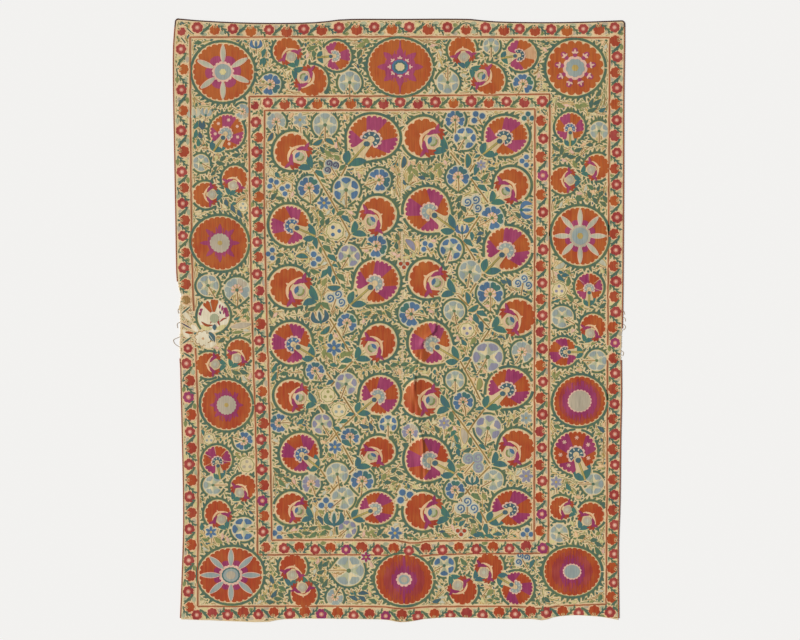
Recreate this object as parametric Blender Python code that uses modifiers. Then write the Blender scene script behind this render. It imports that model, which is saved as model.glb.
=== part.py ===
"""Suzani: a large embroidered cotton cloth, laid flat with its embroidered face up.

Four loom-width panels are sewn edge to edge, and a narrow woven edging is sewn along the top and both
sides. The edging is worn away at one place on each side. One long crease stands up in the panel to the
right of the middle seam.

Frame: metres, +Z up, +Y towards the cloth's upper end, +X to its right. The origin is under the middle
of the cloth, on the surface that it lies on.
"""

import math

import bmesh
import bpy

MM = 0.001

# Driving dimensions, in millimetres.
CLOTH_THICKNESS = 2.0
EDGING_WIDTH = 5.0
EDGING_THICKNESS = 3.0
PIECE_GAP = 0.3
CORNER_RADIUS = 9.0
UPPER_CORNER_Y = 1195.0
LOWER_CORNER_Y = -1190.0
SWELL_HALF_WIDTH = 40.0
CREASE_HALF_WIDTH = 16.0
LEAN_REACH = 2.0

# How finely edges and the creased panel are followed, in millimetres.
EDGE_SPACING = 48.0
CREASE_COLUMN_SPACING = 8.0
CREASE_ROW_SPACING = 30.0
FLAT_ROW_SPACING = 240.0
CORNER_STEPS = 4

# The cloth's upper edge. Columns: x, y.
TOP_EDGE = [
    (-900, 1205),
    (-820, 1197),
    (-660, 1188),
    (-480, 1185),
    (-320, 1189),
    (-220, 1200),
    (0, 1201),
    (280, 1201),
    (370, 1192),
    (560, 1188),
    (740, 1190),
    (900, 1196),
]

# The cloth's lower edge, which droops to a point at the seams. Columns: x, y.
BOTTOM_EDGE = [
    (-900, -1195),
    (-770, -1199),
    (-570, -1207),
    (-524, -1206),
    (-460, -1194),
    (-200, -1194),
    (-40, -1198),
    (16, -1210),
    (76, -1197),
    (200, -1188),
    (430, -1194),
    (530, -1193),
    (568, -1202),
    (620, -1186),
    (700, -1179),
    (812, -1186),
    (900, -1203),
]

# The cloth's left edge, ragged where its edging is lost. Columns: y, x.
LEFT_EDGE = [
    (-1210, -872),
    (-1090, -867),
    (-850, -859),
    (-700, -859),
    (-500, -863),
    (-300, -868),
    (-170, -871),
    (-120, -876),
    (-60, -877),
    (-14, -871),
    (26, -881),
    (70, -876),
    (106, -871),
    (146, -883),
    (190, -886),
    (420, -890),
    (700, -895),
    (900, -898.7),
    (1100, -898.7),
    (1210, -890),
]

# The cloth's right edge. Columns: y, x.
RIGHT_EDGE = [
    (-1210, 876),
    (-900, 874),
    (-740, 880),
    (-490, 883),
    (-290, 887),
    (-150, 886),
    (-100, 888),
    (-20, 890),
    (226, 893),
    (550, 895),
    (900, 896),
    (1100, 898.7),
    (1210, 898.7),
]

# The seams between panels. Columns: x at the lower edge, x at the upper edge.
LEFT_SEAM = (-524, -524)
MIDDLE_SEAM = (16, 10)
RIGHT_SEAM = (568, 568)

# Where each length of side edging starts and ends. Columns: lower y, upper y.
LEFT_EDGING_LOWER = (LOWER_CORNER_Y, -152)
LEFT_EDGING_UPPER = (156, 1174)
RIGHT_EDGING_LOWER = (LOWER_CORNER_Y, -158)
RIGHT_EDGING_UPPER = (-32, 1174)

# The long crease. A broad low swell carries a narrow crease, which stands up as a ridge where its
# height is positive and dips as a trough where it is negative. Columns: y, x, swell, crease.
CREASE = [
    (-760, 108, 0.0, 0.0),
    (-700, 104, 2.0, 0.5),
    (-650, 98, 5.0, -3.0),
    (-600, 96, 6.0, -4.0),
    (-550, 96, 5.0, 3.0),
    (-482, 94, 4.0, 6.0),
    (-430, 80, 3.0, 1.0),
    (-376, 66, 5.0, -4.0),
    (-340, 64, 6.0, -4.0),
    (-300, 62, 5.0, 2.0),
    (-240, 61, 4.0, 6.0),
    (-205, 68, 3.0, 1.0),
    (-165, 80, 5.0, -4.0),
    (-128, 85, 6.0, -3.0),
    (-92, 92, 5.0, 5.0),
    (-64, 116, 4.0, 7.0),
    (-40, 142, 3.0, 6.0),
    (20, 146, 0.0, 0.0),
]


def along(table, place, column=1):
    """Read a column of a table at a place between its rows, on a smooth curve through the rows."""
    last = len(table) - 1
    place = min(max(place, table[0][0]), table[last][0])
    row = next(i for i in range(last) if place <= table[i + 1][0])
    start, end = table[row], table[row + 1]
    before, after = table[max(row - 1, 0)], table[min(row + 2, last)]
    span = end[0] - start[0]
    slope_in = (end[column] - before[column]) / (end[0] - before[0])
    slope_out = (after[column] - start[column]) / (after[0] - start[0])
    t = (place - start[0]) / span
    blend = t * t * (3 - 2 * t)
    bend_in = t * (1 - t) ** 2 * span * slope_in
    bend_out = t * t * (t - 1) * span * slope_out
    return start[column] + blend * (end[column] - start[column]) + bend_in + bend_out


def edge_line(table, place):
    """Where an edge is: straight between points EDGE_SPACING apart, so that neighbours share its facets."""
    step = math.floor(place / EDGE_SPACING)
    start = along(table, step * EDGE_SPACING)
    end = along(table, (step + 1) * EDGE_SPACING)
    return start + (end - start) * (place / EDGE_SPACING - step)


def top(x):
    return edge_line(TOP_EDGE, x)


def bottom(x):
    return edge_line(BOTTOM_EDGE, x)


def left_side(y):
    return edge_line(LEFT_EDGE, y)


def right_side(y):
    return edge_line(RIGHT_EDGE, y)


def seam_side(seam, shift):
    """The side of a seam: a function of y, shifted to one side of the seam's line."""
    lowest, highest = bottom(seam[0]), top(seam[1])

    def side(y):
        return seam[0] + (seam[1] - seam[0]) * (y - lowest) / (highest - lowest) + shift

    return side


def bump(distance, half_width):
    """A soft bump of height 1 that falls to nothing at half_width."""
    t = min(abs(distance) / half_width, 1.0)
    return (1 - t * t) ** 2


def cloth_height(x, y):
    """Height of the cloth's underside over the surface that it lies on."""
    if not CREASE[0][0] < y < CREASE[-1][0]:
        return 0.0
    ahead = min(y + LEAN_REACH, CREASE[-1][0])
    behind = max(y - LEAN_REACH, CREASE[0][0])
    lean = (along(CREASE, ahead) - along(CREASE, behind)) / (ahead - behind)
    distance = (x - along(CREASE, y)) / math.hypot(1, lean)
    swell = along(CREASE, y, 2) * bump(distance, SWELL_HALF_WIDTH)
    crease = along(CREASE, y, 3) * bump(distance, CREASE_HALF_WIDTH)
    return max(swell + crease, 0.0)


def stations(start, end, spacing):
    """Evenly spaced places from start to end, no further apart than the spacing."""
    count = max(1, math.ceil(abs(end - start) / spacing))
    return [start + (end - start) * i / count for i in range(count + 1)]


def corner_arc(side, reach):
    """Points round an upper outer corner, reach outside the cloth, from its side to its top.

    side is -1 for the left corner and 1 for the right one.
    """
    edge = left_side if side < 0 else right_side
    y = top(edge(UPPER_CORNER_Y)) - CORNER_RADIUS
    x = edge(y) - side * CORNER_RADIUS
    radius = CORNER_RADIUS + reach
    turns = [math.pi / 2 * i / CORNER_STEPS for i in range(CORNER_STEPS + 1)]
    return [(x + side * radius * math.cos(a), y + radius * math.sin(a)) for a in turns]


def edge_stations(start, end):
    """Both ends, and the edge's facet ends between them, in order from start to end."""
    low, high = min(start, end), max(start, end)
    first, last = math.ceil((low + 1) / EDGE_SPACING), math.floor((high - 1) / EDGE_SPACING)
    between = [step * EDGE_SPACING for step in range(first, last + 1)]
    places = [low] + between + [high]
    return places if start < end else places[::-1]


def top_run(start, end):
    return [(x, top(x)) for x in edge_stations(start, end)]


def bottom_run(start, end):
    return [(x, bottom(x)) for x in edge_stations(start, end)]


def side_run(side, start, end):
    return [(side(y), y) for y in edge_stations(start, end)]


def make_material(name, colour, roughness):
    material = bpy.data.materials.new(name)
    material.use_nodes = True
    shader = material.node_tree.nodes["Principled BSDF"]
    shader.inputs["Base Color"].default_value = (*colour, 1.0)
    shader.inputs["Roughness"].default_value = roughness
    shader.inputs["Metallic"].default_value = 0.0
    return material


def flat_piece(name, outline, thickness, material, collection):
    """A flat piece lying on the surface: a closed outline in millimetres, filled and given its thickness."""
    curve = bpy.data.curves.new(name, "CURVE")
    curve.dimensions = "2D"
    curve.fill_mode = "BOTH"
    curve.extrude = thickness / 2 * MM
    spline = curve.splines.new("POLY")
    spline.points.add(len(outline) - 1)
    for point, (x, y) in zip(spline.points, outline):
        point.co = (x * MM, y * MM, 0, 1)
    spline.use_cyclic_u = True
    curve.materials.append(material)
    piece = bpy.data.objects.new(name, curve)
    piece.location.z = thickness / 2 * MM
    collection.objects.link(piece)
    return piece


def panel_left(material, collection):
    seam = seam_side(LEFT_SEAM, -PIECE_GAP / 2)
    low_x = left_side(LOWER_CORNER_Y)
    arc = corner_arc(-1, 0)
    outline = bottom_run(low_x, seam(bottom(LEFT_SEAM[0])))
    outline += top_run(seam(top(LEFT_SEAM[1])), arc[-1][0])[:-1]
    outline += arc[::-1]
    outline += side_run(left_side, arc[0][1], bottom(low_x))[1:-1]
    return flat_piece("panel_left", outline, CLOTH_THICKNESS, material, collection)


def panel_centre_left(material, collection):
    left = seam_side(LEFT_SEAM, PIECE_GAP / 2)
    right = seam_side(MIDDLE_SEAM, -PIECE_GAP / 2)
    outline = bottom_run(left(bottom(LEFT_SEAM[0])), right(bottom(MIDDLE_SEAM[0])))
    outline += top_run(right(top(MIDDLE_SEAM[1])), left(top(LEFT_SEAM[1])))
    return flat_piece("panel_centre_left", outline, CLOTH_THICKNESS, material, collection)


def panel_right(material, collection):
    seam = seam_side(RIGHT_SEAM, PIECE_GAP / 2)
    low_x = right_side(LOWER_CORNER_Y)
    arc = corner_arc(1, 0)
    outline = bottom_run(seam(bottom(RIGHT_SEAM[0])), low_x)
    outline += side_run(right_side, bottom(low_x), arc[0][1])[1:-1]
    outline += arc
    outline += top_run(arc[-1][0], seam(top(RIGHT_SEAM[1])))[1:]
    return flat_piece("panel_right", outline, CLOTH_THICKNESS, material, collection)


def panel_centre_right(material, collection):
    """The creased panel: an open grid laid over the crease, with Solidify giving its thickness upwards."""
    left = seam_side(MIDDLE_SEAM, PIECE_GAP / 2)
    right = seam_side(RIGHT_SEAM, -PIECE_GAP / 2)
    swell_right = max(row[1] for row in CREASE) + SWELL_HALF_WIDTH
    fine_right = math.ceil(swell_right / EDGE_SPACING) * EDGE_SPACING
    columns = stations(MIDDLE_SEAM[0], fine_right, CREASE_COLUMN_SPACING)
    columns += edge_stations(fine_right, RIGHT_SEAM[0])[1:]
    rows = stations(bottom(RIGHT_SEAM[0]), CREASE[0][0], FLAT_ROW_SPACING)[:-1]
    rows += stations(CREASE[0][0], CREASE[-1][0], CREASE_ROW_SPACING)
    rows += stations(CREASE[-1][0], top(RIGHT_SEAM[1]), FLAT_ROW_SPACING)[1:]

    bm = bmesh.new()
    bmesh.ops.create_grid(bm, x_segments=len(columns) - 1, y_segments=len(rows) - 1, size=0.5)
    for vertex in bm.verts:
        column = round((vertex.co.x + 0.5) * (len(columns) - 1))
        row = round((vertex.co.y + 0.5) * (len(rows) - 1))
        x, y = columns[column], rows[row]
        if row == 0:
            y = bottom(x)
        if row == len(rows) - 1:
            y = top(x)
        if column == 0:
            x = left(y)
        if column == len(columns) - 1:
            x = right(y)
        vertex.co = (x * MM, y * MM, cloth_height(x, y) * MM)
    mesh = bpy.data.meshes.new("panel_centre_right")
    bm.to_mesh(mesh)
    bm.free()
    mesh.materials.append(material)
    piece = bpy.data.objects.new("panel_centre_right", mesh)
    collection.objects.link(piece)
    thicken = piece.modifiers.new("thickness", "SOLIDIFY")
    thicken.thickness = CLOTH_THICKNESS * MM
    thicken.offset = 1.0
    return piece


def edging_top(material, collection):
    """The top edging turns both upper corners and ends a little way down each side."""
    inner_reach = PIECE_GAP
    outer_reach = PIECE_GAP + EDGING_WIDTH
    end_y = LEFT_EDGING_UPPER[1] + PIECE_GAP
    outline = []
    for reach in (outer_reach, inner_reach):
        left_arc = corner_arc(-1, reach)
        right_arc = corner_arc(1, reach)
        run = [(left_side(end_y) - reach, end_y)] + left_arc
        between = edge_stations(left_arc[-1][0], right_arc[-1][0])[1:-1]
        run += [(x, top(x) + reach) for x in between]
        run += right_arc[::-1] + [(right_side(end_y) + reach, end_y)]
        outline += run if reach == outer_reach else run[::-1]
    return flat_piece("edging_top", outline, EDGING_THICKNESS, material, collection)


def side_edging(name, edge, outward, length, material, collection):
    """A length of side edging. outward is -1 on the left edge and 1 on the right one."""
    places = edge_stations(length[0], length[1])
    inner = [(edge(y) + outward * PIECE_GAP, y) for y in places]
    outer = [(x + outward * EDGING_WIDTH, y) for x, y in inner]
    return flat_piece(name, inner + outer[::-1], EDGING_THICKNESS, material, collection)


def main():
    for old in list(bpy.data.objects):
        bpy.data.objects.remove(old)
    collection = bpy.data.collections.new("suzani")
    bpy.context.scene.collection.children.link(collection)

    cotton = make_material("cotton_ground", (0.60, 0.48, 0.33), 0.9)
    dark_braid = make_material("edging_maroon", (0.06, 0.02, 0.015), 0.8)
    brown_braid = make_material("edging_red_brown", (0.25, 0.08, 0.03), 0.8)

    panel_left(cotton, collection)
    panel_centre_left(cotton, collection)
    panel_centre_right(cotton, collection)
    panel_right(cotton, collection)
    edging_top(dark_braid, collection)
    side_edging("edging_left_upper", left_side, -1, LEFT_EDGING_UPPER, brown_braid, collection)
    side_edging("edging_left_lower", left_side, -1, LEFT_EDGING_LOWER, brown_braid, collection)
    side_edging("edging_right_upper", right_side, 1, RIGHT_EDGING_UPPER, brown_braid, collection)
    side_edging("edging_right_lower", right_side, 1, RIGHT_EDGING_LOWER, brown_braid, collection)


main()
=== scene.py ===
# %% [markdown]
# # A suzani, laid flat
# A suzani is a large cotton cloth covered with silk flowers. It is embroidered in loom-width strips, which
# are then sewn edge to edge. The model that this script loads holds the plain strips and the edging at
# their real size. The script dresses them: it makes the cloth again as fine sheets, and lays every flower
# on it as a low pad of silk. Sizes are in millimetres until a mesh is made.

# %% Load the frame
import functools
import math

import bmesh
import bpy
import numpy as np
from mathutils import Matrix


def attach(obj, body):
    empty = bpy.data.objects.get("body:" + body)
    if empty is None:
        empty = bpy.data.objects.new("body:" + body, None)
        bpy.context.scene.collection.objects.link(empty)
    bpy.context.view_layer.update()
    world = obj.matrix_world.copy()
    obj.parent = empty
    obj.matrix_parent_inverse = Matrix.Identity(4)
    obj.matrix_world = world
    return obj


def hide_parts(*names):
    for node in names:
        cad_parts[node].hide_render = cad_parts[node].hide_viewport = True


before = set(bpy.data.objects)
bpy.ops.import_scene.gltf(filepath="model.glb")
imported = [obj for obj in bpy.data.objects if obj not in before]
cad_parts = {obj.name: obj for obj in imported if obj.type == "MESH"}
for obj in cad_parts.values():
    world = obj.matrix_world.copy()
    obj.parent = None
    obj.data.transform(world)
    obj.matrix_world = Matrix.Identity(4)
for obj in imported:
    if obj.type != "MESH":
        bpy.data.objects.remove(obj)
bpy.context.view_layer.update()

MM = 0.001
print("nodes:", sorted(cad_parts))

# %% [markdown]
# ## From the photograph to the cloth
# The photograph looks straight down on the cloth, so one scale serves the whole of it. One pixel is 4 mm.
# Motif places are named in photograph pixels, y downwards, and turned to millimetres here, y upwards.

# %% The scale
PHOTO_WIDTH, PHOTO_HEIGHT = 800, 640
PIXEL = 4.0
MIDDLE_X, MIDDLE_Y = 399.0, 320.5


def from_photo(x, y):
    """A place in the photograph, in pixels, as a place on the cloth, in millimetres."""
    return np.array([(x - MIDDLE_X) * PIXEL, (MIDDLE_Y - y) * PIXEL])


print("the photograph spans", PHOTO_WIDTH * PIXEL, "by", PHOTO_HEIGHT * PIXEL, "mm")

# %% [markdown]
# ## Camera, floor and light
# The camera looks straight down from high above, on a long lens, so the cloth keeps its proportions.
# The light is a pale sky all round and one soft sun, low on the left. The sun shows the crease and the
# relief of the silk, and the sky keeps the shadows light.

# %% Camera
LENS, SENSOR = 85.0, 36.0
camera_height = PHOTO_WIDTH * PIXEL * LENS / SENSOR
camera_x, camera_y = from_photo(PHOTO_WIDTH / 2, PHOTO_HEIGHT / 2)
camera = bpy.data.objects.new("camera", bpy.data.cameras.new("camera"))
camera.data.lens = LENS
camera.data.sensor_width = SENSOR
camera.data.clip_end = 100
camera.location = (camera_x * MM, camera_y * MM, camera_height * MM)
bpy.context.scene.collection.objects.link(camera)
bpy.context.scene.camera = camera
print("camera height", round(camera_height), "mm")


# %% Colour and node helpers
def linear(hex_colour):
    """An sRGB colour such as #A0B0C0 as the linear colour that shaders take."""
    parts = [int(hex_colour[i:i + 2], 16) / 255 for i in (1, 3, 5)]
    return tuple(p / 12.92 if p <= 0.04045 else ((p + 0.055) / 1.055) ** 2.4 for p in parts) + (1.0,)


def feed(tree, node, *inputs, **named):
    """Give a node its inputs: first those in order, then those by name, with _ for a space.

    An input is a value, a socket, or a node whose first output in use is meant.
    """
    live = [socket for socket in node.inputs if socket.enabled]
    pairs = list(zip(live, inputs))
    pairs += [(node.inputs[name.replace("_", " ")], value) for name, value in named.items()]
    for socket, value in pairs:
        if isinstance(value, bpy.types.Node):
            value = next(output for output in value.outputs if output.enabled)
        if isinstance(value, bpy.types.NodeSocket):
            tree.links.new(value, socket)
        else:
            socket.default_value = value


def add(tree, kind, *inputs, settings=None, **named):
    """Add a node with its settings and its inputs."""
    node = tree.nodes.new("ShaderNode" + kind)
    for name, value in (settings or {}).items():
        setattr(node, name, value)
    feed(tree, node, *inputs, **named)
    return node


def new_material(name):
    """An empty material and its tree, with a Principled shader on its output."""
    material = bpy.data.materials.new(name)
    material.use_nodes = True
    tree = material.node_tree
    tree.nodes.clear()
    shader = add(tree, "BsdfPrincipled")
    add(tree, "OutputMaterial", Surface=shader)
    return material, tree, shader


print("middle grey is", round(linear("#808080")[0], 3), "in linear light")

# %% Floor and light
FLOOR_SIZE = 30.0
FLOOR_COLOUR = "#F6F5F3"
SUN_STRENGTH, SUN_SOFTNESS, SUN_HEIGHT, SUN_BEARING = 3.3, 10.0, 32.0, 172.0
SKY_STRENGTH = 0.41

bm = bmesh.new()
bmesh.ops.create_grid(bm, x_segments=1, y_segments=1, size=FLOOR_SIZE / 2)
floor_mesh = bpy.data.meshes.new("floor")
bm.to_mesh(floor_mesh)
bm.free()
floor = bpy.data.objects.new("floor", floor_mesh)
bpy.context.scene.collection.objects.link(floor)
floor_material, tree, shader = new_material("matt white floor")
feed(tree, shader, Base_Color=linear(FLOOR_COLOUR), Roughness=1.0, Specular_IOR_Level=0.0)
floor_mesh.materials.append(floor_material)

world = bpy.data.worlds.new("pale sky")
bpy.context.scene.world = world
world.use_nodes = True
sky = world.node_tree.nodes["Background"]
sky.inputs["Color"].default_value = (1, 1, 1, 1)
sky.inputs["Strength"].default_value = SKY_STRENGTH

sun = bpy.data.objects.new("soft sun", bpy.data.lights.new("soft sun", "SUN"))
sun.data.energy = SUN_STRENGTH
sun.data.angle = math.radians(SUN_SOFTNESS)
sun.rotation_euler = (0, math.radians(90 - SUN_HEIGHT), math.radians(SUN_BEARING))
bpy.context.scene.collection.objects.link(sun)
bpy.context.scene.view_settings.view_transform = "Standard"
print("floor", FLOOR_SIZE, "m across")

# %% [markdown]
# ## The lie of the cloth
# The cloth's edges and its crease are the ones that the solid model has. Each is a short table read by a
# smooth curve through its rows. The fine sheets and every pad of silk read their height from the same
# function, so that the silk follows the cloth over the crease.

# %% Edges, seams and crease, as the solid model has them
CLOTH_THICKNESS = 2.0
EDGING_WIDTH = 5.0
EDGING_THICKNESS = 3.0
PIECE_GAP = 0.3
CORNER_RADIUS = 9.0
UPPER_CORNER_Y = 1195.0
SWELL_HALF_WIDTH = 40.0
CREASE_LEFT, CREASE_RIGHT, CREASE_ROUNDING = 16.0, 8.0, 1.2
LEAN_REACH = 2.0
VERY_FAR = 1e4
EDGE_SPACING = 48.0

# Columns: x, y.
TOP_EDGE = np.array([
    (-900, 1205), (-820, 1197), (-660, 1188), (-480, 1185), (-320, 1189), (-220, 1200),
    (0, 1201), (280, 1201), (370, 1192), (560, 1188), (740, 1190), (900, 1196),
])
BOTTOM_EDGE = np.array([
    (-900, -1195), (-770, -1199), (-570, -1207), (-524, -1206), (-460, -1194), (-200, -1194),
    (-40, -1198), (16, -1210), (76, -1197), (200, -1188), (430, -1194), (530, -1193),
    (568, -1202), (620, -1186), (700, -1179), (812, -1186), (900, -1203),
])
# Columns: y, x.
LEFT_EDGE = np.array([
    (-1210, -872), (-1090, -867), (-850, -859), (-700, -859), (-500, -863), (-300, -868),
    (-170, -871), (-120, -876), (-60, -877), (-14, -871), (26, -881), (70, -876), (106, -871),
    (146, -883), (190, -886), (420, -890), (700, -895), (900, -898.7), (1100, -898.7), (1210, -890),
])
RIGHT_EDGE = np.array([
    (-1210, 876), (-900, 874), (-740, 880), (-490, 883), (-290, 887), (-150, 886), (-100, 888),
    (-20, 890), (226, 893), (550, 895), (900, 896), (1100, 898.7), (1210, 898.7),
])
# Columns: x at the lower edge, x at the upper edge.
LEFT_SEAM, MIDDLE_SEAM, RIGHT_SEAM = (-524, -524), (16, 10), (568, 568)
# Columns: lower y, upper y.
LEFT_EDGING_LOWER, LEFT_EDGING_UPPER = (-1190, -152), (156, 1174)
RIGHT_EDGING_LOWER, RIGHT_EDGING_UPPER = (-1190, -158), (-32, 1174)
# Columns: y, x, swell, crease. A ridge where the crease's height is positive, a trough where negative.
CREASE = np.array([
    (-760, 108, 0, 0), (-700, 104, 2, 0.5), (-650, 98, 5, -3), (-600, 96, 6, -4), (-550, 96, 5, 3),
    (-482, 94, 4, 6), (-430, 80, 3, 1), (-376, 66, 5, -4), (-340, 64, 6, -4), (-300, 62, 5, 2),
    (-240, 61, 4, 6), (-205, 68, 3, 1), (-165, 80, 5, -4), (-128, 85, 6, -3), (-92, 92, 5, 5),
    (-64, 116, 4, 7), (-40, 142, 3, 6), (20, 146, 0, 0),
])


# %% Reading the tables
def along(table, place, column=1):
    """Read a column of a table at places between its rows, on a smooth curve through the rows."""
    at, value = table[:, 0], table[:, column]
    last = len(table) - 1
    place = np.clip(place, at[0], at[last])
    row = np.clip(np.searchsorted(at, place) - 1, 0, last - 1)
    before, after = np.maximum(row - 1, 0), np.minimum(row + 2, last)
    span = at[row + 1] - at[row]
    slope_in = (value[row + 1] - value[before]) / (at[row + 1] - at[before])
    slope_out = (value[after] - value[row]) / (at[after] - at[row])
    t = (place - at[row]) / span
    blend = t * t * (3 - 2 * t)
    bends = t * (1 - t) ** 2 * span * slope_in + t * t * (t - 1) * span * slope_out
    return value[row] + blend * (value[row + 1] - value[row]) + bends


def edge_line(table, place):
    """Where an edge is: straight between points EDGE_SPACING apart, as on the solid model."""
    step = np.floor(np.asarray(place, float) / EDGE_SPACING)
    start, end = along(table, step * EDGE_SPACING), along(table, (step + 1) * EDGE_SPACING)
    return start + (end - start) * (place / EDGE_SPACING - step)


top = functools.partial(edge_line, TOP_EDGE)
bottom = functools.partial(edge_line, BOTTOM_EDGE)
left_side = functools.partial(edge_line, LEFT_EDGE)
right_side = functools.partial(edge_line, RIGHT_EDGE)


def seam_side(seam, shift=0.0):
    """The side of a seam: a function of y, shifted to one side of the seam's line."""
    lowest, highest = bottom(seam[0]), top(seam[1])
    return lambda y: seam[0] + (seam[1] - seam[0]) * (y - lowest) / (highest - lowest) + shift


def bump(distance, half_width):
    """A soft bump of height 1 that falls to nothing at half_width."""
    return (1 - np.minimum(np.abs(distance) / half_width, 1.0) ** 2) ** 2


def fold(distance):
    """A sharp fold of height 1, gentle on its left and steep on its right."""
    half = np.where(distance < 0, CREASE_LEFT, CREASE_RIGHT)
    off = np.hypot(distance, CREASE_ROUNDING) - CREASE_ROUNDING
    return np.maximum(1 - off / half, 0) ** 2


def from_crease(x, y):
    """How far a place is to the right of the crease. Where there is no crease, that is very far."""
    ahead = np.minimum(y + LEAN_REACH, CREASE[-1, 0])
    behind = np.maximum(y - LEAN_REACH, CREASE[0, 0])
    lean = (along(CREASE, ahead) - along(CREASE, behind)) / np.maximum(ahead - behind, LEAN_REACH)
    inside = (y > CREASE[0, 0]) & (y < CREASE[-1, 0])
    return np.where(inside, (x - along(CREASE, y)) / np.hypot(1, lean), VERY_FAR)


def cloth_height(x, y):
    """Height of the cloth's underside over the surface that it lies on."""
    distance = from_crease(x, y)
    height = along(CREASE, y, 2) * bump(distance, SWELL_HALF_WIDTH)
    return np.maximum(height + along(CREASE, y, 3) * fold(distance), 0)


print("greatest height", round(float(cloth_height(*np.meshgrid(CREASE[:, 1], CREASE[:, 0])).max()), 1))

# %% [markdown]
# ## Cotton
# The ground is hand-woven cotton in plain weave, undyed and yellowed. Its colour drifts from thread to
# thread, in slubs about 17 mm long and 2.4 mm wide, and is stained in soft patches. The real threads are
# 0.6 mm apart, which is too fine to show, so the weave's relief is drawn four times as coarse.

# %% Cotton material
THREAD = 0.6
WEAVE_COARSENING = 4
WEAVE_RELIEF = 0.4
SLUBS_PER_METRE = (60, 420, 1)
PATCHES_PER_METRE = 7.0
# As the patches' noise rises through the first span, the share of stain rises through the second.
STAIN_FROM, STAIN_TO = (0.5, 0.75), (0.0, 0.55)
# A wave texture's bands are 2 pi / 20 apart at a scale of 1.
WAVE_DIVISOR = 20
# The setting of a Mix node that mixes colours.
COLOURS = {"data_type": "RGBA"}


def cotton(name, light, dark, stain):
    """Plain-woven cotton. The colours are its light and dark threads and its stains."""
    material, tree, shader = new_material(name)
    place = add(tree, "TexCoord").outputs["Object"]
    slub = add(tree, "Mapping", Vector=place, Scale=SLUBS_PER_METRE)
    slubs = add(tree, "TexNoise", Vector=slub, Scale=1.0, Detail=3.0)
    patches = add(tree, "TexNoise", Vector=place, Scale=PATCHES_PER_METRE, Detail=4.0)
    threads = add(tree, "Mix", slubs, linear(dark), linear(light), settings=COLOURS)
    soil = add(tree, "MapRange", patches, *STAIN_FROM, *STAIN_TO)
    colour = add(tree, "Mix", soil, threads, linear(stain), settings=COLOURS)
    turns = 2 * math.pi / (THREAD * WEAVE_COARSENING * MM)
    warp, weft = (add(tree, "TexWave", Vector=place, Scale=turns / WAVE_DIVISOR, Distortion=1.0,
                      settings={"bands_direction": axis}).outputs["Fac"] for axis in "XY")
    weave = add(tree, "Math", warp, weft, settings={"operation": "ADD"})
    relief = add(tree, "Bump", Strength=0.35, Distance=WEAVE_RELIEF * MM, Height=weave)
    feed(tree, shader, Base_Color=colour, Normal=relief, Roughness=0.92, Specular_IOR_Level=0.2)
    return material


cotton_material = cotton("hand-woven cotton", "#E2CCA2", "#D2B88E", "#C2A67C")
print(cotton_material.name)

# %% [markdown]
# ## The four loom widths
# Each strip is a grid, whose columns run between its two sides and whose rows run between its ends. The
# rows lie closer together where the edge is worn ragged, and rows and columns both lie closer over the
# crease. The grid is then extruded upwards, which gives the sheet its thickness.

# %% Panels
SIDE_ROWS = 30.0
WORN_ROWS = 3.0
WORN_LEFT, WORN_RIGHT = (-170.0, 175.0), (-175.0, -20.0)
RAGGED_REACH = 2.2
RAW_EDGE_REACH = 1.2
END_DEPTHS = (0.0, 0.8, 2.5, 5.0, 9.0)
SHARP_ANGLE = 50.0
END_PASSES = 3
RAGGED_SEED = 11


def spread(start, end, spacing):
    """Evenly spaced places from start to end, no further apart than the spacing."""
    return np.linspace(start, end, max(1, math.ceil(abs(end - start) / spacing)) + 1)


def joined(*runs):
    """Several runs of places, in order, each place once."""
    return np.unique(np.round(np.concatenate(runs), 3))


def thicken(bm, depth):
    """Extrude all the faces of a sheet upwards."""
    raised = bmesh.ops.extrude_face_region(bm, geom=bm.faces[:])["geom"]
    raised = [part for part in raised if isinstance(part, bmesh.types.BMVert)]
    bmesh.ops.translate(bm, vec=(0, 0, depth), verts=raised)


def new_piece(name, mesh, material):
    """Turn a mesh into a smooth-shaded piece, attached to the root body."""
    mesh.materials.append(material)
    mesh.shade_smooth()
    mesh.set_sharp_from_angle(angle=math.radians(SHARP_ANGLE))
    piece = bpy.data.objects.new(name, mesh)
    bpy.context.scene.collection.objects.link(piece)
    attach(piece, "root")
    return piece


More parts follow.
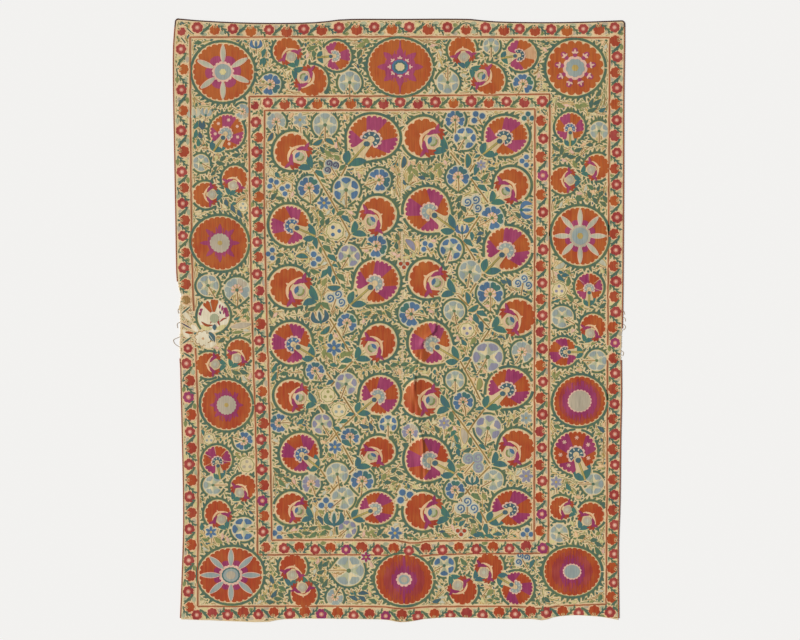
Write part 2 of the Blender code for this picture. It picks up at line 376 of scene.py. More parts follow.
# %% One loom width
def cloth_panel(name, node, sides, fractions, rows, worn, outer):
    """One loom width. sides are functions of y, fractions its columns, and rows its places in y.

    worn is the stretch of y where its outer side, -1 or 1, is ragged. The sides depend on y and the ends
    on x, so the two are worked out in turn, a few times over.
    """
    count = len(END_DEPTHS)
    levels = len(rows) + 2 * count
    bm = bmesh.new()
    bmesh.ops.create_grid(bm, x_segments=len(fractions) - 1, y_segments=levels - 1, size=0.5)
    place = np.array([vertex.co[:2] for vertex in bm.verts]) + 0.5
    column = np.round(place[:, 0] * (len(fractions) - 1)).astype(int)
    level = np.round(place[:, 1] * (levels - 1)).astype(int)
    share = fractions[column]
    depth = np.array(END_DEPTHS)
    low, high = level < count, level >= levels - count
    from_low = depth[np.clip(level, 0, count - 1)]
    from_high = depth[np.clip(levels - 1 - level, 0, count - 1)]
    y = np.where(low, rows[0], np.where(high, rows[-1], rows[np.clip(level - count, 0, len(rows) - 1)]))
    for _ in range(END_PASSES):
        left, right = sides[0](y), sides[1](y)
        if outer:
            arc = CORNER_RADIUS - np.sqrt(CORNER_RADIUS ** 2 - (CORNER_RADIUS - from_high) ** 2)
            inset = np.where(high, arc, 0)
            left = left + inset * (outer < 0)
            right = right - inset * (outer > 0)
        x = left + (right - left) * share
        y = np.where(low, bottom(x) + from_low, np.where(high, top(x) - from_high, y))
    rng = np.random.default_rng(RAGGED_SEED)
    if outer:
        side = (share == 0) if outer < 0 else (share == 1)
        ragged = rng.uniform(-RAGGED_REACH, RAGGED_REACH, len(x))
        x = x + np.where(side & (y > worn[0]) & (y < worn[1]), ragged, 0)
    y = y + np.where(level == 0, rng.uniform(0, RAW_EDGE_REACH, len(x)), 0)
    for vertex, vx, vy, vz in zip(bm.verts, x, y, cloth_height(x, y)):
        vertex.co = (vx, vy, vz)
    thicken(bm, CLOTH_THICKNESS)
    bmesh.ops.recalc_face_normals(bm, faces=bm.faces)
    bmesh.ops.scale(bm, vec=(MM, MM, MM), verts=bm.verts)
    mesh = bpy.data.meshes.new(name)
    bm.to_mesh(mesh)
    bm.free()
    piece = new_piece(name, mesh, cotton_material)
    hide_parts(node)
    print(name, len(piece.data.polygons), "faces")
    return piece


# %% The four panels
END_ROWS_LOW, END_ROWS_HIGH = -1165.0, 1170.0
SIDE_COLUMNS, CENTRE_COLUMNS = 13, 19
# The creased panel's places in x: where it starts, where its fine columns end, and where it ends.
CREASED_START, CREASED_FINE_END, CREASED_END = 15, 190, 568
FINE_COLUMN, COARSE_SPACING, CREASE_ROW = 3.0, 24.0, 5.5
seams = {name: seam_side(seam) for name, seam in
         (("left", LEFT_SEAM), ("middle", MIDDLE_SEAM), ("right", RIGHT_SEAM))}
half_gap = PIECE_GAP / 2
plain_rows = spread(END_ROWS_LOW, END_ROWS_HIGH, SIDE_ROWS)
side_columns, centre_columns = (np.linspace(0, 1, count + 1) for count in (SIDE_COLUMNS, CENTRE_COLUMNS))
creased_x = joined(spread(CREASED_START, CREASED_FINE_END, FINE_COLUMN),
                   spread(CREASED_FINE_END, CREASED_END, COARSE_SPACING))
creased_columns = (creased_x - creased_x[0]) / (creased_x[-1] - creased_x[0])
crease_rows = joined(spread(END_ROWS_LOW, CREASE[0, 0], COARSE_SPACING),
                     spread(CREASE[0, 0], CREASE[-1, 0], CREASE_ROW),
                     spread(CREASE[-1, 0], END_ROWS_HIGH, COARSE_SPACING))


def worn_rows(worn):
    return joined(spread(END_ROWS_LOW, worn[0], SIDE_ROWS), spread(*worn, WORN_ROWS),
                  spread(worn[1], END_ROWS_HIGH, SIDE_ROWS))


# Columns: piece, node, left side, right side, columns, rows, worn stretch, outer side, flat size in metres.
PANELS = (
    ("cloth_left", "panel_left", left_side, seam_side(LEFT_SEAM, -half_gap), side_columns,
     worn_rows(WORN_LEFT), WORN_LEFT, -1, (0.376, 2.41)),
    ("cloth_centre_left", "panel_centre_left", seam_side(LEFT_SEAM, half_gap),
     seam_side(MIDDLE_SEAM, -half_gap), centre_columns, plain_rows, None, 0, (0.540, 2.41)),
    ("cloth_centre_right", "panel_centre_right", seam_side(MIDDLE_SEAM, half_gap),
     seam_side(RIGHT_SEAM, -half_gap), creased_columns, crease_rows, None, 0, (0.559, 2.42)),
    ("cloth_right", "panel_right", seam_side(RIGHT_SEAM, half_gap), right_side, side_columns,
     worn_rows(WORN_RIGHT), WORN_RIGHT, 1, (0.331, 2.40)),
)
for name, node, left, right, columns, rows, worn, outer, _ in PANELS:
    cloth_panel(name, node, (left, right), columns, rows, worn, outer)

# %% [markdown]
# ## Pads of silk
# Bukhara couching lays silk side by side until a whole shape is filled, so each shape stands on the cotton
# as a low cushion with a clean edge. There are thousands of them, but only two kinds of pad: a strip and a
# round. Each is made once, by bmesh operators, in its own small space: u runs along or round it, v across
# or outwards, and w is 0 underneath and 1 on top. A shape is then one formula that says where u and v go
# on the cloth, and all the pads of one silk are joined into one mesh.

# %% The two pads
SUNK = 0.5
LOWEST, LEVEL_STEP = 0.4, 0.4
MOTIF_LIFT, MOTIF_LIFTS = 0.0385, 5
PAD_LIFT, PAD_LIFTS = 0.0055, 7
EDGE_DROP = 0.22
CREASE_REACH, CREASE_STEP = 42.0, 7.0
FOLD_REACH, FOLD_STEP = 18.0, 4.0
FOLD_LIFT = 0.5


def finished_pad(bm):
    """A pad's corners, as columns u, v, w, and its faces."""
    bmesh.ops.recalc_face_normals(bm, faces=bm.faces)
    bm.verts.index_update()
    corners = np.array([vertex.co[:] for vertex in bm.verts])
    faces = [[vertex.index for vertex in face.verts] for face in bm.faces]
    bm.free()
    return corners, faces


@functools.cache
def strip_pad(columns, rows, fine):
    """A strip: a grid, extruded upwards. Unless it is fine, its underside is a single face."""
    bm = bmesh.new()
    bmesh.ops.create_grid(bm, x_segments=columns, y_segments=rows, size=0.5)
    bmesh.ops.translate(bm, vec=(0.5, 0.5, 0), verts=bm.verts)
    under = bm.faces[:]
    thicken(bm, 1)
    if not fine:
        bmesh.ops.dissolve_faces(bm, faces=under)
    return finished_pad(bm)


@functools.cache
def round_pad(columns, rows, fine):
    """A round: half its section, spun about its middle."""
    bm = bmesh.new()
    across = [row / rows for row in range(rows + 1)]
    under = across[::-1] if fine else [1.0, 0.0]
    section = [bm.verts.new((v, 0, 1)) for v in across] + [bm.verts.new((v, 0, 0)) for v in under]
    edges = [bm.edges.new(pair) for pair in zip(section, section[1:])]
    bmesh.ops.spin(bm, geom=section + edges, axis=(0, 0, 1), cent=(0, 0, 0), angle=2 * math.pi,
                   steps=columns, use_merge=True)
    bmesh.ops.remove_doubles(bm, verts=bm.verts, dist=1e-4)
    corners, faces = finished_pad(bm)
    turn = np.arctan2(corners[:, 1], corners[:, 0]) / (2 * math.pi) % 1.0
    turn = np.round(turn * columns) % columns / columns
    return np.column_stack([turn, np.hypot(corners[:, 0], corners[:, 1]), corners[:, 2]]), faces


print("a strip pad has", len(strip_pad(6, 2, False)[1]), "faces")

# %% [markdown]
# The embroiderer fills whatever ground is left between the flowers. To do the same, the script keeps a map
# of what is covered, in cells of 2 mm. Each pad is noted on it as it is laid. It is marked, with a margin of
# one cell, when its whole motif is done.

# %% Cover map and laying
CELL = 2.0
COVER_WIDTH, COVER_HEIGHT = 1860.0, 2480.0
SILK_MARGIN = 1.5
SIDE_PLACES = 25
EDGE_BAND_X, EDGE_BAND_Y = 820.0, 1130.0
PROBES = np.linspace(0, 1, 9)
NEIGHBOURS = ((0, 0), (1, 0), (-1, 0), (0, 1), (0, -1))
covered = np.zeros((round(COVER_WIDTH / CELL), round(COVER_HEIGHT / CELL)), bool)
waiting = []
stitched = {}
motif = 0


def cells(x, y):
    """The cells of the cover map that hold some places in millimetres."""
    return (np.round((np.asarray(x) + COVER_WIDTH / 2) / CELL).astype(int),
            np.round((np.asarray(y) + COVER_HEIGHT / 2) / CELL).astype(int))


def note(place):
    """Note the cells under a pad."""
    run = np.linspace(0, 1, SIDE_PLACES)
    inner, outer = (np.array(place(run, np.full(SIDE_PLACES, side))) for side in (0.0, 1.0))
    across = np.hypot(*(outer - inner)).max()
    length = max(np.hypot(*np.diff(side)).sum() for side in (inner, outer))
    u, v = np.meshgrid(np.linspace(0, 1, math.ceil(length / CELL) + 2),
                       np.linspace(0, 1, math.ceil(across / CELL) + 2))
    waiting.append(cells(*place(u.ravel(), v.ravel())))


def settle(margin=True):
    """Mark the noted cells and, for a margin, the cells beside them. The motif is then done."""
    global motif
    motif += 1
    for i, j in waiting:
        for across, up in NEIGHBOURS if margin else NEIGHBOURS[:1]:
            covered[i + across, j + up] = True
    waiting.clear()


# %% Laying a pad
def kept_on(place):
    """The same places, none of them nearer to the cloth's edge than the silk's margin."""
    def kept(u, v):
        x, y = place(u, v)
        x = np.clip(x, left_side(y) + SILK_MARGIN, right_side(y) - SILK_MARGIN)
        return x, np.clip(y, bottom(x) + SILK_MARGIN, top(x) - SILK_MARGIN)

    x, y = np.abs(place(np.linspace(0, 1, 5), np.ones(5)))
    return kept if x.max() > EDGE_BAND_X or y.max() > EDGE_BAND_Y else place


def lay(pad, columns, rows, silk, level, place):
    """Lay one pad of silk, strip_pad or round_pad. place takes u and v to x and y."""
    place = kept_on(place)
    corners, faces = pad(columns, rows, False)
    x, y = place(corners[:, 0], corners[:, 1])
    middle_x, middle_y = place(PROBES, np.full(len(PROBES), 0.5))
    off = np.abs(np.concatenate([from_crease(x, y), from_crease(middle_x, middle_y)])).min()
    if off < CREASE_REACH:
        step = FOLD_STEP if off < FOLD_REACH else CREASE_STEP
        outer, inner = place(PROBES, np.ones(len(PROBES))), place(PROBES, np.zeros(len(PROBES)))
        rows = max(rows, math.ceil(np.hypot(*np.subtract(outer, inner)).max() / step))
        columns = columns * max(1, math.ceil(np.hypot(*np.diff(outer)).sum() / columns / step))
        corners, faces = pad(columns, rows, True)
        x, y = place(corners[:, 0], corners[:, 1])
    v, w = corners[:, 1], corners[:, 2]
    rim = np.abs(2 * v - 1) if pad is strip_pad else v
    height = LOWEST + LEVEL_STEP * level
    height = height + MOTIF_LIFT * (motif % MOTIF_LIFTS) + PAD_LIFT * (len(waiting) % PAD_LIFTS)
    height = height - (EDGE_DROP * rim ** 4 if rows > 1 or pad is round_pad else 0.0)
    height = height + FOLD_LIFT * bump(from_crease(x, y), 1.5 * FOLD_REACH)
    z = cloth_height(x, y) + CLOTH_THICKNESS + np.where(w > 0.5, height, -SUNK)
    stitched.setdefault(silk, []).append((np.column_stack([x, y, z]), faces))
    note(place)


print("cover map", covered.shape)

# %% [markdown]
# ## Shapes from pads
# Three shapes make every motif: a ribbon along a route, a fan between two angles, and a disc with any
# outline. A motif has its own frame, whose unit is its radius and whose angles start at the foot where
# its stem comes in. So one carnation serves for all, whatever its size and the way it faces. The numbers in
# a motif's function are in that frame: angles in degrees, lengths in radii, and the level of each silk.


# %% Ribbons and hooks
def distances(route):
    """How far along a route each of its stations lies."""
    return np.concatenate([[0], np.cumsum(np.hypot(*np.diff(route, axis=0).T))])


def leftwards(route):
    """The direction to the left of a route at each of its stations."""
    ahead = np.gradient(route, axis=0)
    ahead /= np.maximum(np.hypot(*ahead.T), 1e-9)[:, None]
    return np.column_stack([-ahead[:, 1], ahead[:, 0]])


def ribbon(route, half, silk, level):
    """A ribbon along a route in millimetres. half is half its width, one number or one for each station."""
    route = np.asarray(route, float)
    aside = leftwards(route) * np.broadcast_to(np.asarray(half, float), len(route))[:, None]
    left, right = route + aside, route - aside
    station = np.arange(len(route))

    def place(u, v):
        at = u * (len(route) - 1)
        return [np.interp(at, station, right[:, axis]) * (1 - v) + np.interp(at, station, left[:, axis]) * v
                for axis in (0, 1)]

    lay(strip_pad, len(route) - 1, 1, silk, level, place)


def smooth_route(points, step):
    """A smooth route through points, with stations about a step apart."""
    points = np.asarray(points, float)
    at = distances(points)
    stations = spread(0, at[-1], step)
    return np.column_stack([along(np.column_stack([at, points]), stations, column) for column in (1, 2)])


def photo_route(points, step):
    """A smooth route through points in photograph pixels. The step is in millimetres."""
    return smooth_route([from_photo(*point) for point in points], step)


def evenly(route, step):
    """Places and headings in degrees at even steps along a route."""
    route = np.asarray(route, float)
    at = distances(route)
    stations = np.linspace(0, at[-1], max(2, round(at[-1] / step) + 1))
    places = np.column_stack([np.interp(stations, at, route[:, axis]) for axis in (0, 1)])
    ahead = np.gradient(places, axis=0)
    return places, np.degrees(np.arctan2(ahead[:, 1], ahead[:, 0]))


# %% Hooks and free runs
HOOK_STATIONS = np.array([0.0, 0.45, 1.0])
HOOK_WIDTHS = np.array([0.45, 1.0, 0.16])
HOOK_EDGE = 1.3
FLANK_SHARE = 0.8


def hook_route(start, heading, length, bend):
    angle = np.radians(heading + bend * HOOK_STATIONS)
    return start + length * HOOK_STATIONS[:, None] * np.column_stack([np.cos(angle), np.sin(angle)])


def has_room(route, half):
    """Whether a hook's middle, tip and both flanks would lie on free ground."""
    ahead = (route[2] - route[0]) / np.hypot(*(route[2] - route[0]))
    flank = np.array([-ahead[1], ahead[0]]) * half * FLANK_SHARE
    return not covered[cells(*np.array([route[1], route[2], route[1] + flank, route[1] - flank]).T)].any()


def hook(start, heading, length, half, silk, level, bend=0.0, edge=None, needs_room=True):
    """A small pointed leaf from its start along a heading in degrees, bending to its left."""
    route = hook_route(start, heading, length, bend)
    if needs_room and not has_room(route, half):
        return False
    if edge:
        ribbon(route, half * HOOK_WIDTHS + HOOK_EDGE, edge, level)
        level += 1
    ribbon(route, half * HOOK_WIDTHS, silk, level)
    return True


def free_runs(route):
    """The parts of a route that cross nothing laid so far."""
    free = ~covered[cells(*np.asarray(route).T)]
    runs, run = [], []
    for place, is_free in zip(route, free):
        if is_free:
            run.append(place)
        elif run:
            runs.append(run)
            run = []
    return [part for part in runs + [run] if len(part) > 1]


# %% A motif's own frame
LEAF_EDGE, LEAF_FULLNESS, THINNEST = 2.8, 0.8, 0.4
# A leaf has LEAF_STEPS steps along it, and one longer than LONG_LEAF, in millimetres, has LONG_LEAF_STEPS.
LEAF_STEPS, LONG_LEAF_STEPS, LONG_LEAF = 4, 6, 30.0
LOBE_ROUNDNESS = 0.4
UNEVEN = (0.004, 0.016)


def scallops(count, depth, double=0.0):
    """An outline's share of its radius over a sweep: round lobes with sharp notches, each split by double."""
    def share(u):
        turn = math.pi * count * u
        notch, split = (1 - np.abs(wave(turn)) ** LOBE_ROUNDNESS for wave in (np.sin, np.cos))
        return 1 - depth * notch - double * split
    return share


def plain(u):
    return np.ones_like(u)


def lens(count, blunt):
    """A lens-shaped run of widths, from thin to 1 and back. Its ends are cut off by blunt."""
    return np.sin(math.pi * np.linspace(blunt, 1 - blunt, count))


def polar(radius, degrees):
    return radius * math.cos(math.radians(degrees)), radius * math.sin(math.radians(degrees))


# %% Spot
class Spot:
    """A motif's frame on the cloth. Lengths are in parts of its radius; angle 0 points to its foot."""

    def __init__(self, x, y, size, facing=0.0, squash=1.0):
        self.middle = from_photo(x, y)
        self.size = size * PIXEL
        self.turn = math.radians(facing)
        self.squash = squash
        # The draws are seeded by the motif's own place, so they don't depend on the other motifs.
        rng = np.random.default_rng(int(x * 10) * 7919 + int(y * 10))
        self.uneven = rng.uniform(*UNEVEN, 2)
        self.phase = rng.uniform(0, 2 * math.pi, 2)
        self.lean = rng.uniform(0, 2 * math.pi)

    def to_cloth(self, p, q):
        """p is towards the foot and q to its left. The hand makes every round a little uneven."""
        angle = np.arctan2(q, p)
        share = 1 + self.uneven[0] * np.sin(2 * angle + self.phase[0])
        share = share + self.uneven[1] * np.sin(3 * angle + self.phase[1])
        p, q = p * share, q * share
        cos, sin = math.cos(self.turn), math.sin(self.turn)
        x = self.middle[0] + self.size * (p * cos - q * sin)
        y = self.middle[1] + self.size * self.squash * (p * sin + q * cos)
        return x, y

    def disc(self, radius, silk, level, outline=plain, columns=16, rows=1, at=(0, 0)):
        def place(u, v):
            angle = self.lean + 2 * math.pi * u
            out = radius * v * outline(u)
            return self.to_cloth(at[0] + out * np.cos(angle), at[1] + out * np.sin(angle))
        lay(round_pad, columns, rows, silk, level, place)

    def fan(self, start, end, inner, outer, silk, level, outline=plain, columns=12, rows=1, at=(0, 0),
            root=(0, 0)):
        """A fan from one angle to another, in degrees. inner and outer are radii or functions of u.

        Its sides run towards its root, while its outer edge keeps to a round about at.
        """
        def place(u, v):
            angle = np.radians(start + (end - start) * u)
            low = inner(u) if callable(inner) else inner
            high = outer(u) if callable(outer) else outer
            out = low + (high * outline(u) - low) * v
            p, q = at[0] + root[0] * (1 - v), at[1] + root[1] * (1 - v)
            return self.to_cloth(p + out * np.cos(angle), q + out * np.sin(angle))
        lay(strip_pad, columns, rows, silk, level, place)

    def route(self, points):
        return np.column_stack(self.to_cloth(*np.asarray(points, float).T))

    def line(self, points, half, silk, level, step=0.25):
        """A thin line through points. half is half its width, in millimetres."""
        ribbon(smooth_route(self.route(points), step * self.size), half, silk, level)

    def leaf(self, start, end, half, silk, level, bend=0.12, edge=None, needs_room=False):
        """A pointed leaf from start to end, bent to one side. half is half its width, in radii."""
        start, end = np.asarray(start, float), np.asarray(end, float)
        across = np.array([-(end - start)[1], (end - start)[0]])
        route = self.route([start, (start + end) / 2 + across * bend, end])
        if needs_room and covered[cells(*route[1:].T)].any():
            return
        length = np.hypot(*(route[-1] - route[0]))
        steps = LONG_LEAF_STEPS if length > LONG_LEAF else LEAF_STEPS
        route = smooth_route(route, length / steps + 0.01)
        wide = half * self.size * lens(len(route), 0.03) ** LEAF_FULLNESS
        if edge:
            ribbon(route, wide + LEAF_EDGE, edge, level)
            level += 1
        ribbon(route, np.maximum(wide, THINNEST), silk, level)


print("motif frame ready")

# %% [markdown]
# ## Carnations and fans
# Two kinds of flower fill the field. The carnation is rust, with eight lobes. It opens at the foot, where
# a pale crescent holds an eye, and magenta sleeves end in red finger tips. The fan is cut into sectors,
# magenta and rust in turn, round a small scalloped cup on a stem. Both have a peach outline and lie in a
# loop of vine, whose size each flower hands on, to be laid when all the flowers are down.

# %% Carnation
FIELD_GAP, GREAT_GAP, SMALL_GAP = 2.9, 2.1, 2.0
vines = []


def add_vine(spot, gap, foot=0.0, size=1.0):
    """Ask for a loop of vine whose line runs a gap, in photograph pixels, outside the motif."""
    vines.append((spot, 1 + gap * PIXEL / spot.size, foot, size))


EYE = (0.53, 0.05)
# A carnation with a smaller radius than this, in millimetres, has a plain grey eye.
PLAIN_EYE = 58.0
CRESCENT = ((0.36, 0.70), (0.06, 0.36), (-0.08, 0.0), (0.06, -0.36), (0.28, -0.54))
# Columns: root, tip, half width, silk, level, bend. Two claws of silk curl round the eye and end in fingers.
CLAWS = (
    ((0.14, 0.22), (0.70, 0.66), 0.12, "magenta", 4, 0.16),
    ((0.12, -0.12), (0.62, -0.58), 0.12, "magenta", 4, -0.16),
    ((0.50, 0.46), (0.40, 1.02), 0.095, "magenta", 4.5, 0.0),
    ((0.42, -0.38), (0.34, -0.98), 0.095, "magenta", 4.5, 0.0),
    ((0.46, 0.56), (0.84, 0.86), 0.1, "red", 3.5, 0.1), ((0.4, -0.46), (0.8, -0.76), 0.1, "red", 3.5, -0.1),
    ((0.5, 0.58), (0.98, 0.62), 0.1, "red", 3.5, 0.1), ((0.44, -0.48), (0.96, -0.5), 0.1, "red", 3.5, -0.1),
    ((0.54, 0.56), (0.96, 0.36), 0.09, "red", 3.5, 0.15),
    ((0.48, -0.46), (0.92, -0.27), 0.09, "red", 3.5, -0.15),
)
# Columns: root and tip, each as its distance back from the foot and its place to the left; half width,
# silk, bend. Each flower has two such leaves beside its stem.
CARNATION_LEAVES = (
    ((0.10, 0.06), (0.76, 0.56), 0.19, "teal", 0.10), ((0.12, -0.06), (0.66, -0.50), 0.19, "teal", -0.14),
)
FAN_LEAVES = (
    ((0.10, -0.06), (0.62, -0.38), 0.165, "teal", 0.06), ((0.12, 0.08), (0.68, 0.46), 0.165, "teal", 0.06),
)


def foot_leaves(spot, foot, leaves):
    for root, tip, half, silk, bend in leaves:
        spot.leaf((foot - root[0], root[1]), (foot - tip[0], tip[1]), half, silk, 1, bend=bend, edge="straw",
                  needs_room=True)


def carnation(spot, foot):
    edge = scallops(8, 0.13, 0.02)
    spot.fan(-74, 74, 0.3, 1.0, "buff", 0)
    spot.fan(61, 299, 0.8, 1.06, "peach", 1, edge, columns=32)
    spot.fan(64, 296, 0.0, 1.0, "rust", 2, edge, columns=32, rows=2, root=(0.32, 0))
    spot.disc(0.47, "buff", 2.5, columns=16, at=EYE)
    ribbon(smooth_route(spot.route(CRESCENT), 12.0), 0.075 * spot.size, "peach", 3)
    spot.leaf((0.02, 0.14), (-0.26, 0.10), 0.06, "peach", 3)
    for start, end, half, silk, level, bend in CLAWS:
        spot.leaf(start, end, half, silk, level, bend=bend)
    if spot.size < PLAIN_EYE:
        spot.disc(0.33, "stone", 5, columns=12, at=EYE)
        spot.disc(0.15, "ash", 6, columns=8, at=EYE)
    else:
        spot.disc(0.335, "pink", 5, columns=14, at=EYE)
        spot.disc(0.265, "sage", 6, columns=12, at=EYE)
        spot.fan(130, 245, 0.05, 0.25, "blue", 7, columns=6, at=EYE)
        spot.fan(-80, 50, 0.18, 0.28, "moss", 7, columns=6, at=EYE)
    spot.line([(0.88, 0.03), (foot, 0)], 1.5, "olive", 1)
    foot_leaves(spot, foot, CARNATION_LEAVES)


# %% The fan of sectors
CUP, CALYX = (0.14, 0.0), (0.42, 0.0)
CUP_SILKS = ("blue", "sky", "indigo")
FEW_LOBES = 62.0


def sectored_fan(spot, foot, sectors=6, opening=38.0, marks="plain", faded=None):
    """A fan of sectors about an opening. One under FEW_LOBES, in millimetres, has three lobes a sector.

    marks are plain, crosses or lines between the sectors. faded is a sector that lost its dye.
    """
    width = (360 - opening) / sectors
    lobes = 3 if spot.size < FEW_LOBES else 4
    edge = scallops(lobes, 0.09)
    spot.fan(-opening / 2, opening / 2, 0.0, 1.0, "buff", 0, columns=4, root=CALYX)
    for sector in range(sectors):
        start = -opening / 2 - sector * width
        end = start - width
        silk = "tan" if sector == faded else "rust" if sector % 2 else "magenta"
        spot.fan(start, end, 0.8, 1.055, "peach", 1, edge, columns=lobes * 4)
        spot.fan(start, end, 0.0, 1.0, silk, 2, edge, columns=lobes * 4, rows=2, root=CALYX)
        if marks == "lines":
            spot.fan(end - 1.2, end + 1.2, 0.45, 0.93, "peach", 3, columns=1)
        if marks == "crosses":
            at = np.array(polar(0.70, (start + end) / 2))
            for turn in range(0, 180, 60):
                arm = np.array(polar(0.10, turn))
                spot.line([at - arm, at + arm], 1.7, "pink", 3, step=0.2)
    mouth = math.sin(math.radians(opening / 2))
    channel = np.array([0.17, 0.19, mouth * 0.75, mouth]) * spot.size
    ribbon(spot.route([(0.05, 0), (0.45, 0), (0.8, 0), (0.98, 0)]), channel, "buff", 3)
    spot.fan(52, 308, 0.0, 0.46, "pink", 4, scallops(8, 0.15), columns=32, at=CUP)
    silk = CUP_SILKS[int(abs(spot.middle[0])) % len(CUP_SILKS)]
    spot.fan(58, 302, 0.0, 0.36, silk, 5, columns=12, at=CUP)
    for turn in range(84, 277, 48):
        spot.leaf(np.array(CUP) + polar(0.20, turn), np.array(CUP) + polar(0.34, turn), 0.035, "frost", 6,
                  bend=0.1)
    spot.fan(42, 318, 0.0, 0.15, "buff", 6.5, columns=9, at=CUP)
    spot.disc(0.13, "indigo", 7, columns=9, at=CALYX)
    for half, silk, level in ((4.4, "moss", 4), (2.0, "gold", 4.5)):
        ribbon(smooth_route(spot.route([CALYX, (foot - 0.1, 0)]), 10.0), half, silk, level)
    foot_leaves(spot, foot, FAN_LEAVES)


FLOWERS = {"carnation": carnation, "fan": sectored_fan}


# %% The field's flowers
# Four columns of seven flowers, in which carnations and fans take turns.
# Columns: x, y, radius, height over width, foot x, foot y. Photograph pixels.
FIELD_FLOWERS = (
    (292, 151, 17.5, 1.0, 313, 170), (289.5, 225, 19, 1.0, 317, 237), (289.5, 287, 19.5, 1.0, 319, 302),
    (291, 343, 19.5, 1.0, 316, 358), (291.5, 396, 15.5, 1.0, 318, 404), (300, 453, 18.5, 1.0, 320, 469),
    (291, 508, 15, 1.0, 314, 519), (373, 137, 25, 0.84, 346.5, 166), (378, 215, 17.5, 1.0, 350, 235),
    (377, 281.5, 21, 1.0, 349, 306), (379, 342, 17, 1.0, 354, 360), (380, 395, 18.5, 1.0, 355, 415),
    (378, 451, 16.5, 0.84, 355, 468), (377, 508, 17.5, 0.88, 351, 519), (423, 137.5, 19, 1.0, 449, 151),
    (427, 210, 21.5, 1.0, 456, 231), (427, 279, 18, 1.0, 456, 294), (430, 343, 20, 1.0, 460, 361),
    (421, 398, 18, 1.0, 451, 409), (427, 459, 21, 1.0, 456, 474), (423, 511, 18, 1.0, 451, 518),
    (506, 136, 21, 0.9, 481, 156), (512, 185, 16.5, 1.0, 489, 204), (508, 248.5, 22, 0.95, 483, 274),
    (518, 316.5, 17.5, 1.0, 490, 329), (509, 388, 21, 0.9, 484.5, 409), (517, 447, 17, 1.0, 491, 465),
    (512, 508, 20, 0.88, 487, 523),
)


def facing_foot(x, y, size, squash, foot_x, foot_y):
    """The angle that a flower faces, in degrees, and its foot's distance, in radii."""
    across, up = foot_x - x, (y - foot_y) / squash
    return math.degrees(math.atan2(up, across)), math.hypot(across, up) / size


for number, (x, y, size, squash, foot_x, foot_y) in enumerate(FIELD_FLOWERS):
    facing, foot = facing_foot(x, y, size, squash, foot_x, foot_y)
    spot = Spot(x, y, size, facing, squash)
    FLOWERS["fan" if number % 2 else "carnation"](spot, foot)
    add_vine(spot, FIELD_GAP, foot)
    settle()
print(len(FIELD_FLOWERS), "field flowers")

# %% [markdown]
# ## The ten great rosettes of the border
# A great rosette is a round of rust silk with a scalloped edge. Some carry pale rays, some a ragged halo of
# magenta, whose upright threads end at different heights, and each has its own small flower at the middle.

# %% Parts of a great rosette
LAID_WIDTH, LAID_OVERLAP = 3.2, 0.05


def halo(spot, radius, silk, level, seed, uneven):
    """A ragged round of upright threads, each its own narrow strip."""
    rng = np.random.default_rng(seed)
    reach = radius * spot.size
    for x in np.arange(-reach, reach, LAID_WIDTH):
        half = math.sqrt(reach ** 2 - x ** 2) * spot.squash
        lower, upper = (half * (1 + uneven * rng.uniform(-1, 1)) + 1 for _ in range(2))
        ends = [spot.middle + (x, -lower), spot.middle + (x, upper)]
        ribbon(ends, LAID_WIDTH / 2 + LAID_OVERLAP, silk, level)


def ray(spot, angle, start, end, half, silk, level, edge=None):
    spot.leaf(polar(start, angle), polar(end, angle), half, silk, level, bend=0.0, edge=edge)


def rays(spot, angles, silk):
    for angle in angles:
        ray(spot, angle, 0.34, 0.93, 0.075, silk, 4, "pink")


def magenta_star(spot, angles, radius, half):
    """Pointed magenta rays on a ragged round."""
    for angle in angles:
        ray(spot, angle, 0.25, radius, half, "magenta", 3)


def plume(spot, half):
    """One magenta ray up and one down, nearly from edge to edge."""
    for angle in (90, -90):
        ray(spot, angle, 0.2, 0.97, half, "magenta", 3.5)


def patches(spot, angles, half, radius):
    """Patches between the rays, each nearly square at its outer end."""
    def outer(u):
        return radius * (0.86 + 0.14 * np.sin(math.pi * u) ** 0.5)

    for angle in angles:
        spot.fan(angle - half, angle + half, 0.2, outer, "magenta", 3, columns=6)


def centre(spot, *rounds):
    """Rounds, one on another. Columns: radius, silk, lobes, depth."""
    for step, (radius, silk, lobes, depth) in enumerate(rounds):
        spot.disc(radius, silk, 4 + step, scallops(lobes, depth) if lobes else plain,
                  columns=max(lobes * 4, 18))


def trefoils(spot, angles, radius, size):
    for angle in angles:
        root = np.array(polar(radius, angle))
        for turn, reach in ((0, size * 1.2), (70, size), (-70, size)):
            spot.leaf(root, root + polar(reach, angle + turn), size * 0.28, "pink", 5, bend=0)


# %% The ten rosettes
def great_rosette(x, y, rx, ry, edge, parts):
    """edge is the outline's lobes, their depth and the number of deeper notches.

    Each part is its function and what it takes.
    """
    lobes, depth, deep = edge
    spot = Spot(x, y, rx, 0, ry / rx)
    spot.lean = math.radians(90)

    def outline(u):
        return scallops(lobes, depth)(u) * (scallops(deep, depth * 0.8)(u) if deep else 1)

    spot.disc(1.035, "peach", 1, outline, columns=lobes * 4)
    spot.disc(1.0, "rust", 2, outline, columns=lobes * 4, rows=3)
    for part, *sizes in parts:
        part(spot, *sizes)
    add_vine(spot, GREAT_GAP)
    settle()


SIX_RAYS = (90, 30, -22, -90, 217, 155)
BETWEEN_SIX = (60, 4, -56, 247, 186, 122)
EIGHT_RAYS = tuple(range(0, 360, 45))
BETWEEN_EIGHT = tuple(range(22, 360, 45))
NINE = tuple(range(10, 370, 40))

